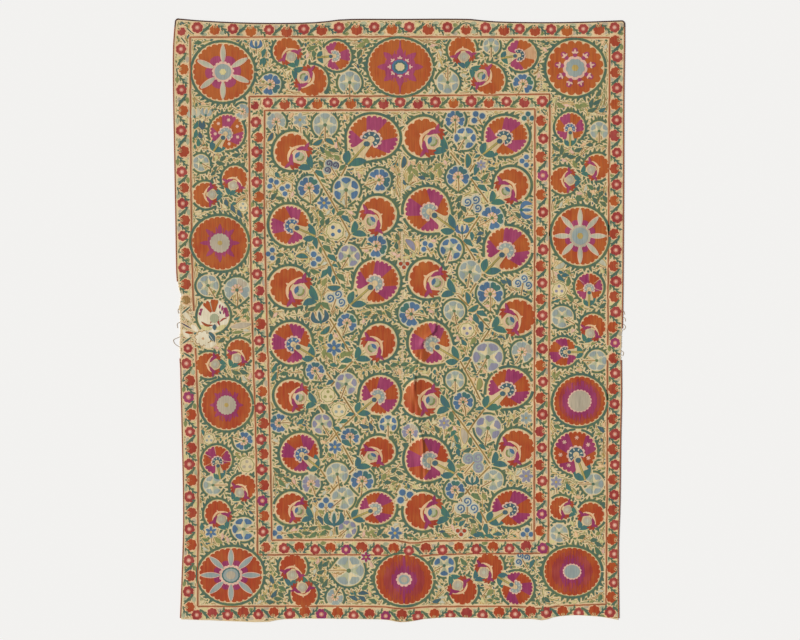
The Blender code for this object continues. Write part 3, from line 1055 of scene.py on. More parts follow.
# Columns: x, y, half width, half height, edge, parts. Photograph pixels.
GREAT_ROSETTES = (
    (223, 72, 30, 29, (30, 0.055, 6), (
        (patches, BETWEEN_SIX, 23, 0.60), (rays, SIX_RAYS, "ash"),
        (centre, (0.37, "pink", 15, 0.12), (0.28, "sky", 0, 0), (0.11, "straw", 6, 0.15)))),
    (400, 67, 31.4, 27.8, (32, 0.05, 0), (
        (halo, 0.50, "magenta", 2.5, 6, 0.25), (magenta_star, EIGHT_RAYS, 0.72, 0.10), (plume, 0.035),
        (trefoils, EIGHT_RAYS, 0.30, 0.09),
        (centre, (0.27, "blue", 12, 0.08), (0.20, "teal", 0, 0), (0.15, "cream", 8, 0.12)))),
    (575, 68, 28, 27.5, (20, 0.10, 0), (
        (patches, NINE, 9, 0.74), (trefoils, NINE, 0.54, 0.13),
        (centre, (0.44, "pink", 9, 0.12), (0.34, "sky", 9, 0.1), (0.12, "gold", 6, 0.1)))),
    (220, 243, 27.3, 26.6, (28, 0.055, 0), (
        (halo, 0.46, "magenta", 2.5, 1, 0.35), (magenta_star, EIGHT_RAYS, 0.72, 0.08),
        (centre, (0.37, "stone", 16, 0.08), (0.09, "gold", 5, 0.1)))),
    (226.5, 405, 24.5, 24.5, (26, 0.055, 0), (
        (halo, 0.52, "magenta", 2.5, 2, 0.4), (magenta_star, EIGHT_RAYS, 0.68, 0.08),
        (centre, (0.40, "stone", 18, 0.08), (0.09, "gold", 5, 0.1)))),
    (231, 575, 32, 27.5, (32, 0.055, 8), (
        (patches, BETWEEN_EIGHT, 15, 0.56), (rays, EIGHT_RAYS, "sky"),
        (centre, (0.38, "pink", 18, 0.1), (0.29, "teal", 16, 0.05), (0.24, "sky", 0, 0),
         (0.15, "stone", 0, 0)))),
    (404, 579.5, 28, 25, (28, 0.055, 0), (
        (halo, 0.74, "crimson", 2.5, 13, 0.3), (halo, 0.46, "magenta", 3, 3, 0.4), (plume, 0.05),
        (centre, (0.29, "pink", 10, 0.14), (0.2, "sky", 0, 0), (0.12, "stone", 8, 0.1)))),
    (572, 571.5, 27.6, 24.3, (30, 0.05, 0), (
        (halo, 0.74, "crimson", 2.5, 14, 0.25), (halo, 0.46, "magenta", 3, 4, 0.55),
        (centre, (0.34, "pink", 16, 0.1), (0.28, "sky", 0, 0)))),
    (580, 236, 27.5, 29, (32, 0.05, 8), (
        (patches, BETWEEN_EIGHT, 16, 0.58), (rays, EIGHT_RAYS, "ash"),
        (centre, (0.40, "stone", 20, 0.06), (0.30, "sky", 0, 0), (0.11, "gold", 6, 0.1)))),
    (579.5, 401, 25.7, 24.5, (28, 0.055, 0), (
        (halo, 0.82, "crimson", 2.5, 15, 0.12), (halo, 0.68, "magenta", 3, 5, 0.25),
        (centre, (0.47, "pink", 20, 0.08), (0.42, "stone", 0, 0)))),
)
for row in GREAT_ROSETTES:
    great_rosette(*row)
print(len(GREAT_ROSETTES), "great rosettes")

# %% [markdown]
# ## Small flowers
# Between the rosettes grow smaller flowers in blue and pale silks: fans with pale lines between their
# petals, wheels, triple spirals, stars, tulips and sprigs of berries. Each is one function, and one table
# says where each kind grows.


# %% Small fans and wheels
FAN_PETALS, FAN_SWEEP, FAN_START = 4, 276, 42
WHEEL_PETALS, WHEEL_SWEEP, WHEEL_START = 5, 300, 30
SMALL_FAN_FOOT, WHEEL_FOOT, SMALL_LOOP = 1.5, 1.4, 0.75


def small_fan(spot, silk):
    """A C of scalloped petals, pale lines between them, round a pink middle with gold rays, on a stem."""
    width = FAN_SWEEP / FAN_PETALS
    spot.fan(FAN_START, FAN_START + FAN_SWEEP, 0.25, 1.08, "frost", 0, scallops(FAN_PETALS * 2, 0.05),
             columns=FAN_PETALS * 8)
    for petal in range(FAN_PETALS):
        start = FAN_START + petal * width
        other = "teal" if silk == "blue" else "stone"
        spot.fan(start + 3, start + width - 3, 0.44, 1.0, other if petal == 1 else silk, 1, scallops(2, 0.13),
                 columns=8)
    spot.fan(55, 305, 0.05, 0.50, "pink", 2, scallops(6, 0.2), columns=24)
    for turn in range(90, 271, 45):
        ray(spot, turn, 0.05, 0.52, 0.045, "gold", 3)
    spot.disc(0.15, "thorn", 4, columns=8)
    spot.line([(0.1, 0), (0.8, 0.06), (1.4, 0)], 1.4, "brown", 2, step=0.5)
    add_vine(spot, SMALL_GAP, SMALL_FAN_FOOT, SMALL_LOOP)


def wheel(spot, silk):
    """A wheel: a pale rim and spokes, and in each gap a light petal with a dark outer crescent."""
    width = WHEEL_SWEEP / WHEEL_PETALS
    spot.fan(WHEEL_START, WHEEL_START + WHEEL_SWEEP, 0.1, 1.02, "frost", 0, scallops(WHEEL_PETALS, 0.05),
             columns=WHEEL_PETALS * 6)
    for petal in range(WHEEL_PETALS):
        start = WHEEL_START + petal * width
        ends = start + 5, start + width - 5
        spot.fan(*ends, 0.18, 0.90, "cream" if petal % 2 else "sage", 1, columns=6)
        spot.fan(*ends, lambda u: 0.74 - 0.26 * np.sin(math.pi * u), 0.96, silk, 2, scallops(1, 0.12),
                 columns=8)
    spot.disc(0.15, "thorn", 3, columns=8)
    spot.line([(0.1, 0), (1.4, 0)], 1.4, "brown", 2, step=0.5)
    add_vine(spot, SMALL_GAP, WHEEL_FOOT, SMALL_LOOP)


# %% The other small flowers
def spirals(spot, silk):
    """Three curled heads on one stem."""
    for p, q in ((-0.52, 0.0), (0.10, 0.60), (0.10, -0.60)):
        turn = np.linspace(0, 2.7 * math.pi, 16)
        out = 0.42 * (1 - turn / turn[-1] * 0.85)
        spot.disc(0.52, "frost" if silk == "blue" else "sky", 0, columns=12, at=(p, q))
        ribbon(spot.route(np.column_stack([p + out * np.cos(turn), q + out * np.sin(turn)])), 2.7, silk, 1)
    spot.line([(0.0, 0), (1.4, 0)], 1.6, "brown", 1, step=0.4)


def star(spot, silk):
    """A small flower of six pointed petals."""
    for angle in range(0, 360, 60):
        ray(spot, angle, 0.1, 1.0, 0.24, silk, 1, "frost")
    spot.disc(0.22, "gold", 3, columns=8)
    spot.line([(0.8, 0), (1.9, 0.15)], 1.2, "brown", 0, step=0.5)


def berries(spot, silk):
    """Three berries on thin stems."""
    for p, q in ((-0.66, 0.0), (0.05, 0.66), (0.05, -0.66)):
        spot.line([(p, q), (0.5, 0), (1.1, 0)], 1.2, "brown", 0, step=0.6)
        spot.disc(0.56, "frost", 0, columns=10, at=(p, q))
        spot.disc(0.42, silk, 1, columns=10, at=(p, q))


def tulip(spot, silk):
    """A cup of three petals, open away from its foot."""
    spot.leaf((0.6, 0), (-1.0, 0), 0.34, "frost", 0, bend=0)
    for side in (1, -1):
        spot.leaf((0.6, 0.1 * side), (-0.9, 0.75 * side), 0.3, silk, 1, bend=-0.28 * side)
    spot.leaf((0.5, 0), (-0.8, 0), 0.2, silk, 2, bend=0)
    spot.leaf((0.75, 0), (0.2, 0), 0.2, "teal", 3, bend=0)
    spot.line([(0.6, 0), (1.6, 0.1)], 1.1, "brown", 1, step=0.5)


def pale_round(spot, silk):
    """A pale round, faintly drawn, with three dots."""
    spot.disc(0.95, "olive", 0, scallops(8, 0.1), columns=24)
    spot.disc(0.84, "cream", 1, scallops(8, 0.1), columns=24)
    for angle in (90, 210, 330):
        spot.disc(0.2, silk, 2, columns=9, at=polar(0.42, angle))


def one_leaf(spot, silk):
    spot.leaf((1, 0), (-1, 0), 0.42, silk, 0, bend=0.10, edge="gold", needs_room=True)


# %% Where the small flowers grow
SMALL = {"fan": small_fan, "wheel": wheel, "spirals": spirals, "star": star, "berries": berries,
         "tulip": tulip, "round": pale_round, "leaf": one_leaf}

# Columns: kind, x, y, radius, facing, silk. Photograph pixels and degrees.
FIELD_SMALL = (
    ("fan", 276, 122, 9, -80, "sky"), ("star", 300, 120, 7, -90, "sky"),
    ("wheel", 325, 125, 12, -90, "sky"), ("leaf", 317.5, 142, 5.5, 30, "teal"),
    ("leaf", 329, 142, 5.5, 150, "teal"), ("spirals", 331, 167, 8, -60, "plum"),
    ("fan", 309, 188, 11, -85, "blue"), ("wheel", 346, 190, 13, -90, "blue"),
    ("fan", 379, 180, 11, -160, "blue"), ("star", 324, 203, 7, -60, "blue"),
    ("berries", 273, 184, 6, -60, "blue"), ("berries", 286, 190, 6, -20, "blue"),
    ("leaf", 270, 137, 5, 60, "indigo"), ("round", 335, 231, 10, -90, "blue"),
    ("wheel", 349, 256, 11, -120, "lilac"), ("fan", 376, 246, 11, -170, "blue"),
    ("berries", 272, 254, 6, 0, "blue"), ("berries", 314, 259, 7, 180, "blue"),
    ("leaf", 302, 257, 6, 175, "teal"), ("leaf", 334, 287, 6.5, 0, "teal"),
    ("spirals", 336, 299, 10, -110, "blue"), ("tulip", 320, 318, 8, -80, "indigo"),
    ("fan", 347, 323, 9.5, -110, "blue"), ("leaf", 352, 314, 6, 10, "teal"),
    ("leaf", 325, 330, 6, 40, "teal"), ("star", 334, 348, 8, -90, "blue"),
    ("fan", 411, 314, 12, -10, "blue"), ("fan", 315, 371, 9, -60, "blue"),
    ("wheel", 346, 384, 11, -110, "lilac"), ("round", 328, 395, 8, 0, "olive"),
    ("round", 339, 410, 8, 0, "sky"), ("berries", 404, 264, 5, 90, "red"), ("fan", 279, 423, 9, 0, "blue"),
    ("wheel", 322, 424, 10, -60, "lilac"), ("fan", 350, 437, 9, -90, "blue"),
    ("star", 335, 447, 7, -90, "blue"), ("wheel", 388, 424, 9, -90, "blue"),
    ("wheel", 337, 474, 11, -80, "sky"), ("fan", 362, 481, 11, -95, "blue"),
    ("fan", 311, 484, 9, -70, "lilac"), ("wheel", 343, 498, 11, -140, "sky"),
    ("berries", 326, 505, 7, -90, "blue"), ("tulip", 334, 520, 9, -90, "teal"),
    ("wheel", 347.5, 529, 9, -140, "lilac"), ("berries", 279, 533, 7, 0, "blue"),
    ("star", 395, 533, 7, -60, "blue"), ("leaf", 301, 485, 6, 90, "teal"),
    ("leaf", 315, 438, 5, 30, "indigo"), ("fan", 455, 120, 9.5, -90, "blue"),
    ("wheel", 465, 138, 11, -120, "blue"), ("berries", 478, 118, 7, -60, "blue"),
    ("berries", 528, 118, 6, -90, "teal"), ("fan", 458, 177, 11, -90, "blue"),
    ("star", 481, 165, 5, -90, "lilac"), ("leaf", 467, 161, 7, 90, "teal"),
    ("spirals", 473, 204, 10, -120, "blue"), ("berries", 526, 161, 6, 0, "blue"),
    ("leaf", 403, 162, 6, 80, "indigo"), ("tulip", 525, 210, 8, 180, "blue"),
    ("fan", 492, 218, 11.5, -150, "blue"), ("leaf", 469, 219, 6, 10, "teal"),
    ("tulip", 462, 230, 6, -90, "blue"), ("wheel", 451, 249, 11, -110, "blue"),
    ("berries", 427, 247, 6, -60, "blue"), ("leaf", 410, 245, 7, 130, "lilac"),
    ("leaf", 466, 254, 6, 0, "teal"), ("wheel", 470, 272, 11.5, -100, "sky"),
    ("fan", 490, 294, 12.5, -90, "blue"), ("spirals", 523, 283, 9, -100, "blue"),
    ("leaf", 467, 298, 6, 100, "teal"), ("leaf", 473, 308, 6, 30, "teal"),
    ("wheel", 454, 311, 10, -80, "sky"), ("round", 467, 330, 8, -60, "lilac"),
    ("wheel", 487.5, 357, 15, -120, "lilac"), ("fan", 522, 352, 10, -120, "sky"),
    ("wheel", 455, 380, 9, -90, "sky"), ("fan", 463, 402, 10, -80, "blue"),
    ("leaf", 478.5, 384, 6, 80, "olive"), ("fan", 410, 432, 8, -90, "lilac"),
    ("star", 444, 423, 6, -90, "lilac"), ("wheel", 488, 428, 13, -100, "lilac"),
    ("leaf", 463, 436, 8, 100, "stone"), ("star", 526, 418, 6, -90, "sky"),
    ("spirals", 474, 462, 11, -130, "lilac"), ("star", 526, 476, 7, 180, "lilac"),
    ("wheel", 493, 480, 10, -150, "sky"), ("fan", 455, 490, 9.5, -60, "blue"),
    ("tulip", 472, 481, 6, -90, "teal"), ("spirals", 467, 507, 11, -90, "blue"),
    ("berries", 405, 497, 8, -60, "blue"), ("berries", 461, 531, 5, 90, "red"),
    ("berries", 527, 534, 6, -90, "blue"),
)

# Columns: kind, x, y, radius, facing. Some fans add their sectors, opening, marks and faded sector.
BORDER_FLOWERS = (
    ("carnation", 287, 51, 13.5, -60), ("carnation", 311.6, 81, 15.5, 150),
    ("fan", 336.5, 56, 14, 185, 5, 80), ("carnation", 462, 50, 13.5, -80),
    ("carnation", 489, 79.5, 15.5, 150), ("fan", 521, 55, 15, 190, 5, 60, "plain", 2),
    ("fan", 227, 132, 17, -125, 6, 38, "crosses"), ("carnation", 235, 179, 12.5, -110),
    ("carnation", 205.5, 195, 12.5, 0), ("carnation", 239.5, 352, 12.5, -120),
    ("carnation", 208.5, 365, 12.5, 0), ("fan", 217, 460, 14, -80, 6, 38, "lines"),
    ("carnation", 243.6, 487, 12.5, -130), ("carnation", 217.6, 513.5, 13, -60), ("fan", 570, 127, 14, -90),
    ("carnation", 597, 167, 12.5, 200), ("carnation", 563, 180.5, 13, 0),
    ("fan", 589, 287, 13.5, -90, 6, 38, "lines"), ("carnation", 593, 327, 12.5, -120),
    ("fan", 563, 352, 14, 0), ("fan", 575, 452, 21, -70, 6, 38, "crosses"),
    ("carnation", 561, 508, 11.5, -20), ("carnation", 591, 515, 13, -130),
    ("carnation", 293, 567.6, 13.5, -100), ("carnation", 304, 594, 13, 100),
    ("carnation", 463, 590.5, 14, 130), ("carnation", 489, 567, 14, -140), ("fan", 517, 588, 16, 150),
)
# Columns: kind, x, y, radius, facing, silk.
BORDER_SMALL = (
    ("fan", 270, 84.5, 10.5, 180, "blue"), ("tulip", 256, 45, 5.5, -90, "blue"),
    ("wheel", 349.6, 82.5, 11, -90, "sky"), ("wheel", 447.6, 82.5, 11, 90, "sky"),
    ("fan", 523, 84, 10, -120, "blue"), ("wheel", 491, 46, 8, -90, "sky"),
    ("wheel", 201, 163, 8, -30, "sky"), ("round", 243, 206.5, 6, 0, "sky"),
    ("wheel", 208, 285.5, 10.5, -60, "sky"), ("fan", 237, 290, 12, -90, "sky"),
    ("round", 209, 439, 6, 0, "sky"), ("fan", 243.6, 441, 9, 160, "blue"),
    ("round", 247, 465, 8, 0, "stone"), ("wheel", 213, 485, 9.5, 0, "sky"),
    ("wheel", 243.6, 529, 11.5, 0, "blue"), ("star", 211, 532, 6, -90, "blue"),
    ("wheel", 599, 131, 9, -90, "sky"), ("round", 559, 289.5, 7.5, 0, "lilac"),
    ("wheel", 562, 317, 10.5, -30, "sky"), ("wheel", 596.5, 360.5, 10, 180, "sky"),
    ("wheel", 593, 484, 10.5, 180, "sky"), ("star", 556, 482, 6, -90, "lilac"),
    ("wheel", 559, 533, 9, -30, "sky"), ("wheel", 348.6, 570.6, 15, 180, "sky"),
    ("star", 366, 557, 5.5, -90, "magenta"), ("fan", 335, 597, 8, 60, "sky"),
    ("wheel", 444, 565.5, 10.5, -150, "blue"), ("spirals", 522, 559, 8, -60, "blue"),
    ("leaf", 560, 265, 6, 30, "ash"), ("leaf", 601, 263, 6, 150, "ash"), ("tulip", 194, 114, 6, -80, "ash"),
    ("fan", 242.5, 111.5, 7, 160, "sky"), ("tulip", 206, 113, 5, -100, "sky"),
)

# %% Laying the small flowers
BORDER_FOOT, BORDER_LOOP = 1.5, 0.85
for kind, x, y, size, facing, *options in BORDER_FLOWERS:
    spot = Spot(x, y, size, facing)
    FLOWERS[kind](spot, BORDER_FOOT, *options)
    add_vine(spot, SMALL_GAP, BORDER_FOOT, BORDER_LOOP)
    settle()
for kind, x, y, size, facing, silk in FIELD_SMALL + BORDER_SMALL:
    SMALL[kind](Spot(x, y, size, facing), silk)
    settle()
print(len(FIELD_SMALL), "small flowers in the field,", len(BORDER_FLOWERS) + len(BORDER_SMALL),
      "in the border")

# %% [markdown]
# ## Guard bands
# A narrow band runs round the border on its outside, and another on its inside. Each is kept between red
# lines, and holds a wavy vine with a rosette or a tulip in every bend. The outer band's outer side is the
# cloth's own edge.

# %% Guard lines
LINE_HALF, FLANK_HALF, LINE_STEP, LINE_WAVER = 1.9, 5.0, 18.0, 0.5
# Columns: x, y, in photograph pixels. One row of points for each side, with the worn gaps left out.
GUARD_LINES = (
    ((190, 37.2), (400, 37), (609.7, 37.8)), ((190, 37.2), (191.5, 230), (193, 295), (194, 311)),
    ((195.5, 348), (198, 420), (198, 500), (197.7, 606.3)), ((609.7, 37.8), (608.6, 200), (607.6, 345)),
    ((607.4, 360), (607, 480), (606, 604.2)),
    ((197.7, 606.3), (380, 606.5), (403, 608.9), (425, 606.8), (520, 606.6), (539, 608.4), (560, 606),
     (606, 604.2)),
    ((249.2, 96.7), (400, 96), (549.7, 94.2)),
    ((249.2, 96.7), (249.7, 195), (251.7, 300), (255.8, 440), (257.3, 520), (257.3, 554.8)),
    ((549.7, 94.2), (549.2, 300), (548, 553)),
    ((257.3, 554.8), (390, 555), (412, 556.8), (435, 554.6), (548, 553)),
    ((264.5, 110.5), (400, 110), (534.8, 109)),
    ((264.5, 110.5), (264, 190), (266, 290), (269, 400), (271.6, 520), (271.6, 540)),
    ((534.8, 109), (534.6, 300), (534, 540.5)),
    ((271.6, 540), (395, 540.5), (412, 543), (430, 541), (534, 540.5)),
)
for number, points in enumerate(GUARD_LINES):
    route = photo_route(points, LINE_STEP)
    route = route + np.random.default_rng(number).normal(0, LINE_WAVER, route.shape)
    ribbon(route, FLANK_HALF, "tan", 0.5)
    ribbon(route, LINE_HALF, "line", 1.5)
    settle()
print(len(GUARD_LINES), "guard lines")


# %% Guard flowers
def guard_rosette(spot, silk):
    """Seven lobes round a salmon middle."""
    spot.disc(1.20, "peach", 1, scallops(7, 0.07), columns=28)
    spot.disc(1.0, silk, 2, scallops(7, 0.14), columns=28)
    spot.disc(0.42, "salmon", 3, columns=9)
    spot.disc(0.22, "pink", 4, columns=7)


def guard_tulip(spot, silk):
    """A cup, flat at its mouth, which lies away from its foot and has three pale lines."""
    spot.fan(-178, 178, 0.03, lambda u: 1.2 - 0.2 * np.abs(2 * u - 1) ** 6, "peach", 1, scallops(7, 0.06),
             columns=28)
    spot.fan(-176, 176, 0.03, lambda u: 1 - 0.25 * np.abs(2 * u - 1) ** 6, silk, 2, scallops(7, 0.15),
             columns=28)
    for turn in (154, 180, 206):
        ray(spot, turn, 0.35, 0.85, 0.05, "straw", 3)
    spot.disc(0.15, "thorn", 4, columns=7, at=(-0.96, 0))


# %% The guard flowers' runs
# Each row is a run of flowers. Its places say where it starts, then the steps to the next place.
# Columns: outward angle, first kind, then x, y, steps for each place.
GUARD_RUNS = (
    (90, 0, ((196.8, 29.2, 4), (269, 30.5, 3), (321.5, 30, 1), (339, 28.6, 4), (409.6, 28.2, 4),
             (485, 28.6, 1), (504, 29.6, 3), (551, 30.4, 4), (614.7, 28.6, 0))),
    (180, 0, ((182, 49, 6), (182.8, 172, 7), (184.8, 284, 0))),
    (180, 0, ((187.6, 363.4, 4), (191, 431.8, 6), (190.6, 529, 5), (188.6, 606.8, 0))),
    (0, 1, ((616.2, 41, 6), (615.8, 136, 8), (615, 266, 9), (614, 404, 8), (613.5, 525, 5), (612.5, 597, 0))),
    (-90, 0, ((197, 613.7, 7), (305, 612.5, 6), (402, 615.5, 8), (531, 612.5, 5), (610, 611, 0))),
    (90, 0, ((268, 103.3, 8), (400, 103, 8), (542, 101.8, 0))),
    (180, 0, ((257, 122, 9), (258, 257, 9), (261.5, 408, 9), (264.5, 547, 0))),
    (-90, 0, ((284, 547.5, 8), (409, 549.5, 8), (543, 547, 0))),
    (0, 1, ((542, 120.5, 7), (541.8, 249.5, 9), (541.5, 398, 8), (541, 530.5, 0))),
)
# Columns: x, y, facing. A bud in the band's corner, and one in the inner band's.
BUDS = ((181.5, 31.5, -45), (254.7, 105.5, -45))
LONE_ROSETTE = (188.1, 348.3)
GUARD_SIZE, BUD_SHARE, LONE_SHARE = 5.5, 0.8, 0.85
GUARD_SHIFT, GUARD_STRAY, GUARD_TURN, GUARD_VARIES = 0.9, 0.25, 8, (0.93, 1.07)
CRIMSON_SHARE = 0.93
TULIP_SILKS, TULIP_SHARES = ["rust", "red", "red", "crimson"], (0.35, 0.25, 0.25, 0.15)
# A band's vine starts WAVE_START flowers before its first flower and ends up to WAVE_END after its last.
WAVE_REACH, WAVE_STEP, WAVE_START, WAVE_END = 5.6, 0.125, 0.55, 0.6
GUARD_SEED = 3
rng = np.random.default_rng(GUARD_SEED)
guard_vines = []
guard_count = 0
for outward, kind, places in GUARD_RUNS:
    middles = []
    for (x, y, steps), (next_x, next_y, _) in zip(places, places[1:]):
        for step in range(steps):
            middles.append((x + (next_x - x) * step / steps, y + (next_y - y) * step / steps))
    middles = np.array(middles + [places[-1][:2]])
    out = np.array(polar(1.0, outward)) * (1, -1)
    for number, middle in enumerate(middles):
        is_rosette = (number + kind) % 2 == 0
        x, y = middle + out * GUARD_SHIFT * (1 if is_rosette else -1) + rng.normal(0, GUARD_STRAY, 2)
        size = GUARD_SIZE * rng.uniform(*GUARD_VARIES)
        spot = Spot(x, y, size, outward + 180 + rng.normal(0, GUARD_TURN))
        if is_rosette:
            guard_rosette(spot, "crimson" if rng.random() < CRIMSON_SHARE else "magenta")
        else:
            guard_tulip(spot, rng.choice(TULIP_SILKS, p=TULIP_SHARES))
        guard_count += 1
    settle()
    at = np.arange(-WAVE_START, len(middles) - 1 + WAVE_END, WAVE_STEP)
    reach = WAVE_REACH * np.cos(math.pi * (at + kind)) * -1
    line = np.column_stack([np.interp(at, range(len(middles)), middles[:, axis]) for axis in (0, 1)])
    before, after = middles[0] - middles[1], middles[-1] - middles[-2]
    line += np.outer(np.maximum(-at, 0), before) + np.outer(np.maximum(at - len(middles) + 1, 0), after)
    wave = np.array([from_photo(*place) for place in line + reach[:, None] * out])
    guard_vines.append((wave, at, outward))
for x, y, facing in BUDS:
    guard_tulip(Spot(x, y, GUARD_SIZE * BUD_SHARE, facing), "crimson")
guard_rosette(Spot(*LONE_ROSETTE, GUARD_SIZE * LONE_SHARE), "crimson")
settle()
print(guard_count, "guard flowers in the runs, with", len(BUDS), "buds and a lone rosette")

# %% [markdown]
# ## The worn place on the left
# Beside the torn stretch of the left edge one fan of the border has lost much of its silk. The cream cotton
# shows between what is left of its petals, and the guard band beside it is down to a few threads.

# %% Worn fan
WORN_FAN = (213.5, 316, 15.8, -90, 1.05)
# Columns: start, end, inner and outer radius, silk. Angles from the foot; what is left of the petals.
WORN_PETALS = (
    (-134, -162, 0.28, 0.99, "rust"), (-163, -168, 0.42, 0.88, "stone"), (160, 192, 0.25, 1.0, "rust"),
    (86, 126, 0.74, 0.98, "magenta"), (-92, -122, 0.80, 0.96, "magenta"),
)
# Columns: start, end, half width, silk, level, bend. In the fan's own frame.
WORN_LEAVES = (
    ((-0.70, 0.42), (-0.45, 0.36), 0.05, "magenta", 2, 0),
    ((-0.62, 0.58), (-0.30, 0.52), 0.06, "magenta", 2, 0),
    ((-0.40, 0.66), (-0.10, 0.62), 0.05, "magenta", 2, 0),
    ((-0.30, 0.40), (-0.12, 0.44), 0.05, "plum", 2, 0),
    ((0.55, -0.05), (0.34, -0.76), 0.08, "line", 2, 0.15),
    ((0.45, -0.20), (0.04, -0.18), 0.06, "line", 2, -0.2),
    ((0.58, 0.40), (0.02, 0.34), 0.07, "crimson", 2, 0.15),
    ((0.36, 0.40), (0.10, 0.86), 0.05, "crimson", 2, 0.1),
    ((0.76, -0.10), (0.55, -0.84), 0.15, "straw", 1, 0.1),
    ((0.78, 0.14), (0.55, 0.76), 0.15, "straw", 1, -0.1),
    ((0.50, 0.06), (0.86, 0.06), 0.13, "indigo", 3, 0), ((1.55, 0.06), (0.96, -0.26), 0.18, "indigo", 1, 0),
    ((1.02, -1.24), (0.96, -1.80), 0.08, "line", 1, 0),
)
# What is left in the guard band and under the fan, a dark strip painted as the shadow in a slit, and patches
# of bare cotton, of the level 0.
# Columns: start, end, half width in mm, silk, level. Photograph pixels.
WORN_STROKES = (
    # The plum stroke from (181.3, 323) is painted shadow: a dark strip where a slit in the worn cloth lies in
    # shade.
    ((190, 306.5), (181.8, 313.5), 2.6, "vine", 2), ((181.3, 323), (191, 328.5), 2.2, "plum", 2),
    ((191.5, 337), (182.5, 343.5), 3.0, "vine", 2), ((183.4, 352.6), (192.6, 358.2), 3.2, "vine", 2),
    ((231, 327), (251, 324), 11.0, "stone", 2), ((232, 333), (243, 331.5), 6.0, "moss", 2),
    ((251, 333), (243, 336), 5.0, "moss", 2), ((181.4, 293), (184.5, 306), 9.0, "undyed", 0),
    ((182.5, 311), (190.5, 320), 8.0, "undyed", 0), ((183, 330), (189.5, 338), 9.0, "undyed", 0),
    ((191.5, 325), (198, 331.5), 9.0, "undyed", 0), ((205, 347), (216, 343), 10.0, "undyed", 0),
)
WORN_EYE = (0.14, 0.06)
WORN_LOBE = 12
# The gap, the foot's distance and the size of the worn fan's loop.
WORN_LOOP = (1.6, 1.18, 0.8)
# Columns: x, y, radius, facing. A tulip that lost its dye, and a daisy that is only an outline.
FADED_TULIP, DAISY = (186, 300, 4.6, 20), (203, 338.5, 8.5)
spot = Spot(*WORN_FAN)
spot.disc(1.0, "undyed", 0, scallops(16, 0.03), columns=32)
for start, end, low, high, silk in WORN_PETALS:
    lobes = max(1, round(abs(end - start) / WORN_LOBE))
    spot.fan(start, end, low, high, silk, 2, scallops(lobes, 0.1), columns=8)
for start, end, half, silk, level, bend in WORN_LEAVES:
    spot.leaf(start, end, half, silk, level, bend=bend)
spot.disc(0.36, "undyed", 2, columns=12, at=WORN_EYE)
spot.disc(0.29, "sage", 3, columns=12, at=WORN_EYE)
spot.line([(0.84, -0.5), (1.15, -0.24), (1.58, 0.05)], 1.2, "frost", 3)
add_vine(spot, *WORN_LOOP)
settle()
for start, end, half, silk, level in WORN_STROKES:
    route = photo_route((start, end), 6.0)
    ribbon(route, half * lens(len(route), 0.06) + THINNEST, silk, level)
guard_tulip(Spot(*FADED_TULIP), "brown")
settle()
daisy = Spot(*DAISY)
for radius, silk, level in ((1.0, "brown", 0), (0.9, "undyed", 1)):
    daisy.disc(radius, silk, level, scallops(8, 0.22), columns=32)
daisy.disc(0.16, "tan", 2, columns=8)
settle()
print("worn fan done")

# %% [markdown]
# The band's vine is thin where it rounds a flower and leafy where it crosses the band. One crossing is a
# single broad leaf, the next a stalk with hooks. Pale green and grey leaves fill the corners beside it.

# %% Guard vines
BAND_SILKS = ["sage", "sage", "moss", "stone", "straw"]
CELL_SHIFT, CELL_LENGTH, CELL_WIDTHS = 4.2, 17.0, (1.5, 8.0, 6.5, 1.0)
THIN_HALF, CROSSING_REACH = 2.2, 0.36
# Columns: half width, step between its hooks. A leafy crossing, then a stalk with hooks.
CROSSINGS = ((5.0, 16.0), (2.6, 9.0))
CROSSING_BLUNT, CROSSING_LEAST, CROSSING_EDGE = 0.04, 0.6, 2.2
CROSSING_HOOK, CROSSING_HOOK_HALF, CROSSING_HOOK_TURN = 15.0, 3.4, 38
for wave, at, outward in guard_vines:
    out = np.array(polar(1.0, outward))
    for crossing in np.arange(0.5, at[-1], 1.0):
        middle = wave[np.argmin(np.abs(at - crossing))]
        for side in (1, -1):
            start = middle + out * side * CELL_SHIFT * PIXEL
            cell = hook_route(start, outward + 90, CELL_LENGTH, 0)
            cell = cell - (cell[1] - start)
            ribbon(np.vstack([cell, cell[-1] * 2 - cell[-2]]), CELL_WIDTHS, rng.choice(BAND_SILKS), 0)
    for part in free_runs(wave):
        ribbon(part, THIN_HALF, "vine", 1)
    for crossing in np.arange(0.5, at[-1], 1.0):
        half, step = CROSSINGS[int(crossing) % 2]
        route = wave[np.abs(at - crossing) < CROSSING_REACH]
        shape = half * lens(len(route), CROSSING_BLUNT)
        ribbon(route, shape + CROSSING_EDGE, "straw", 1)
        ribbon(route, shape + CROSSING_LEAST, "vine", 2)
        places, headings = evenly(route, step)
        for number, (place, heading) in enumerate(zip(places[:-1], headings)):
            side = 1 if number % 2 else -1
            hook(place, heading + CROSSING_HOOK_TURN * side, CROSSING_HOOK, CROSSING_HOOK_HALF, "vine", 2,
                 needs_room=False)
    settle()
print(len(guard_vines), "guard vines")

# %% [markdown]
# ## Stems
# Two stems zigzag down the field, one in each half. Each links the feet of the flowers on its two sides.

# %% Zigzag stems
COLUMN_FLOWERS = 7
STEM_HALF, STEM_EDGE, STEM_STEP, STEM_SWAY = 2.1, 0.9, 8.0, 3.0
stem_routes = []


def stem(start, end, sway):
    start, end = from_photo(*start), from_photo(*end)
    across = np.array([-(end - start)[1], (end - start)[0]]) / np.hypot(*(end - start))
    route = smooth_route([start, (start + end) / 2 + across * sway, end], STEM_STEP)
    for part in free_runs(route):
        ribbon(part, STEM_HALF + STEM_EDGE, "olive", 0)
        ribbon(part, STEM_HALF, "brown", 1)
        stem_routes.append(part)


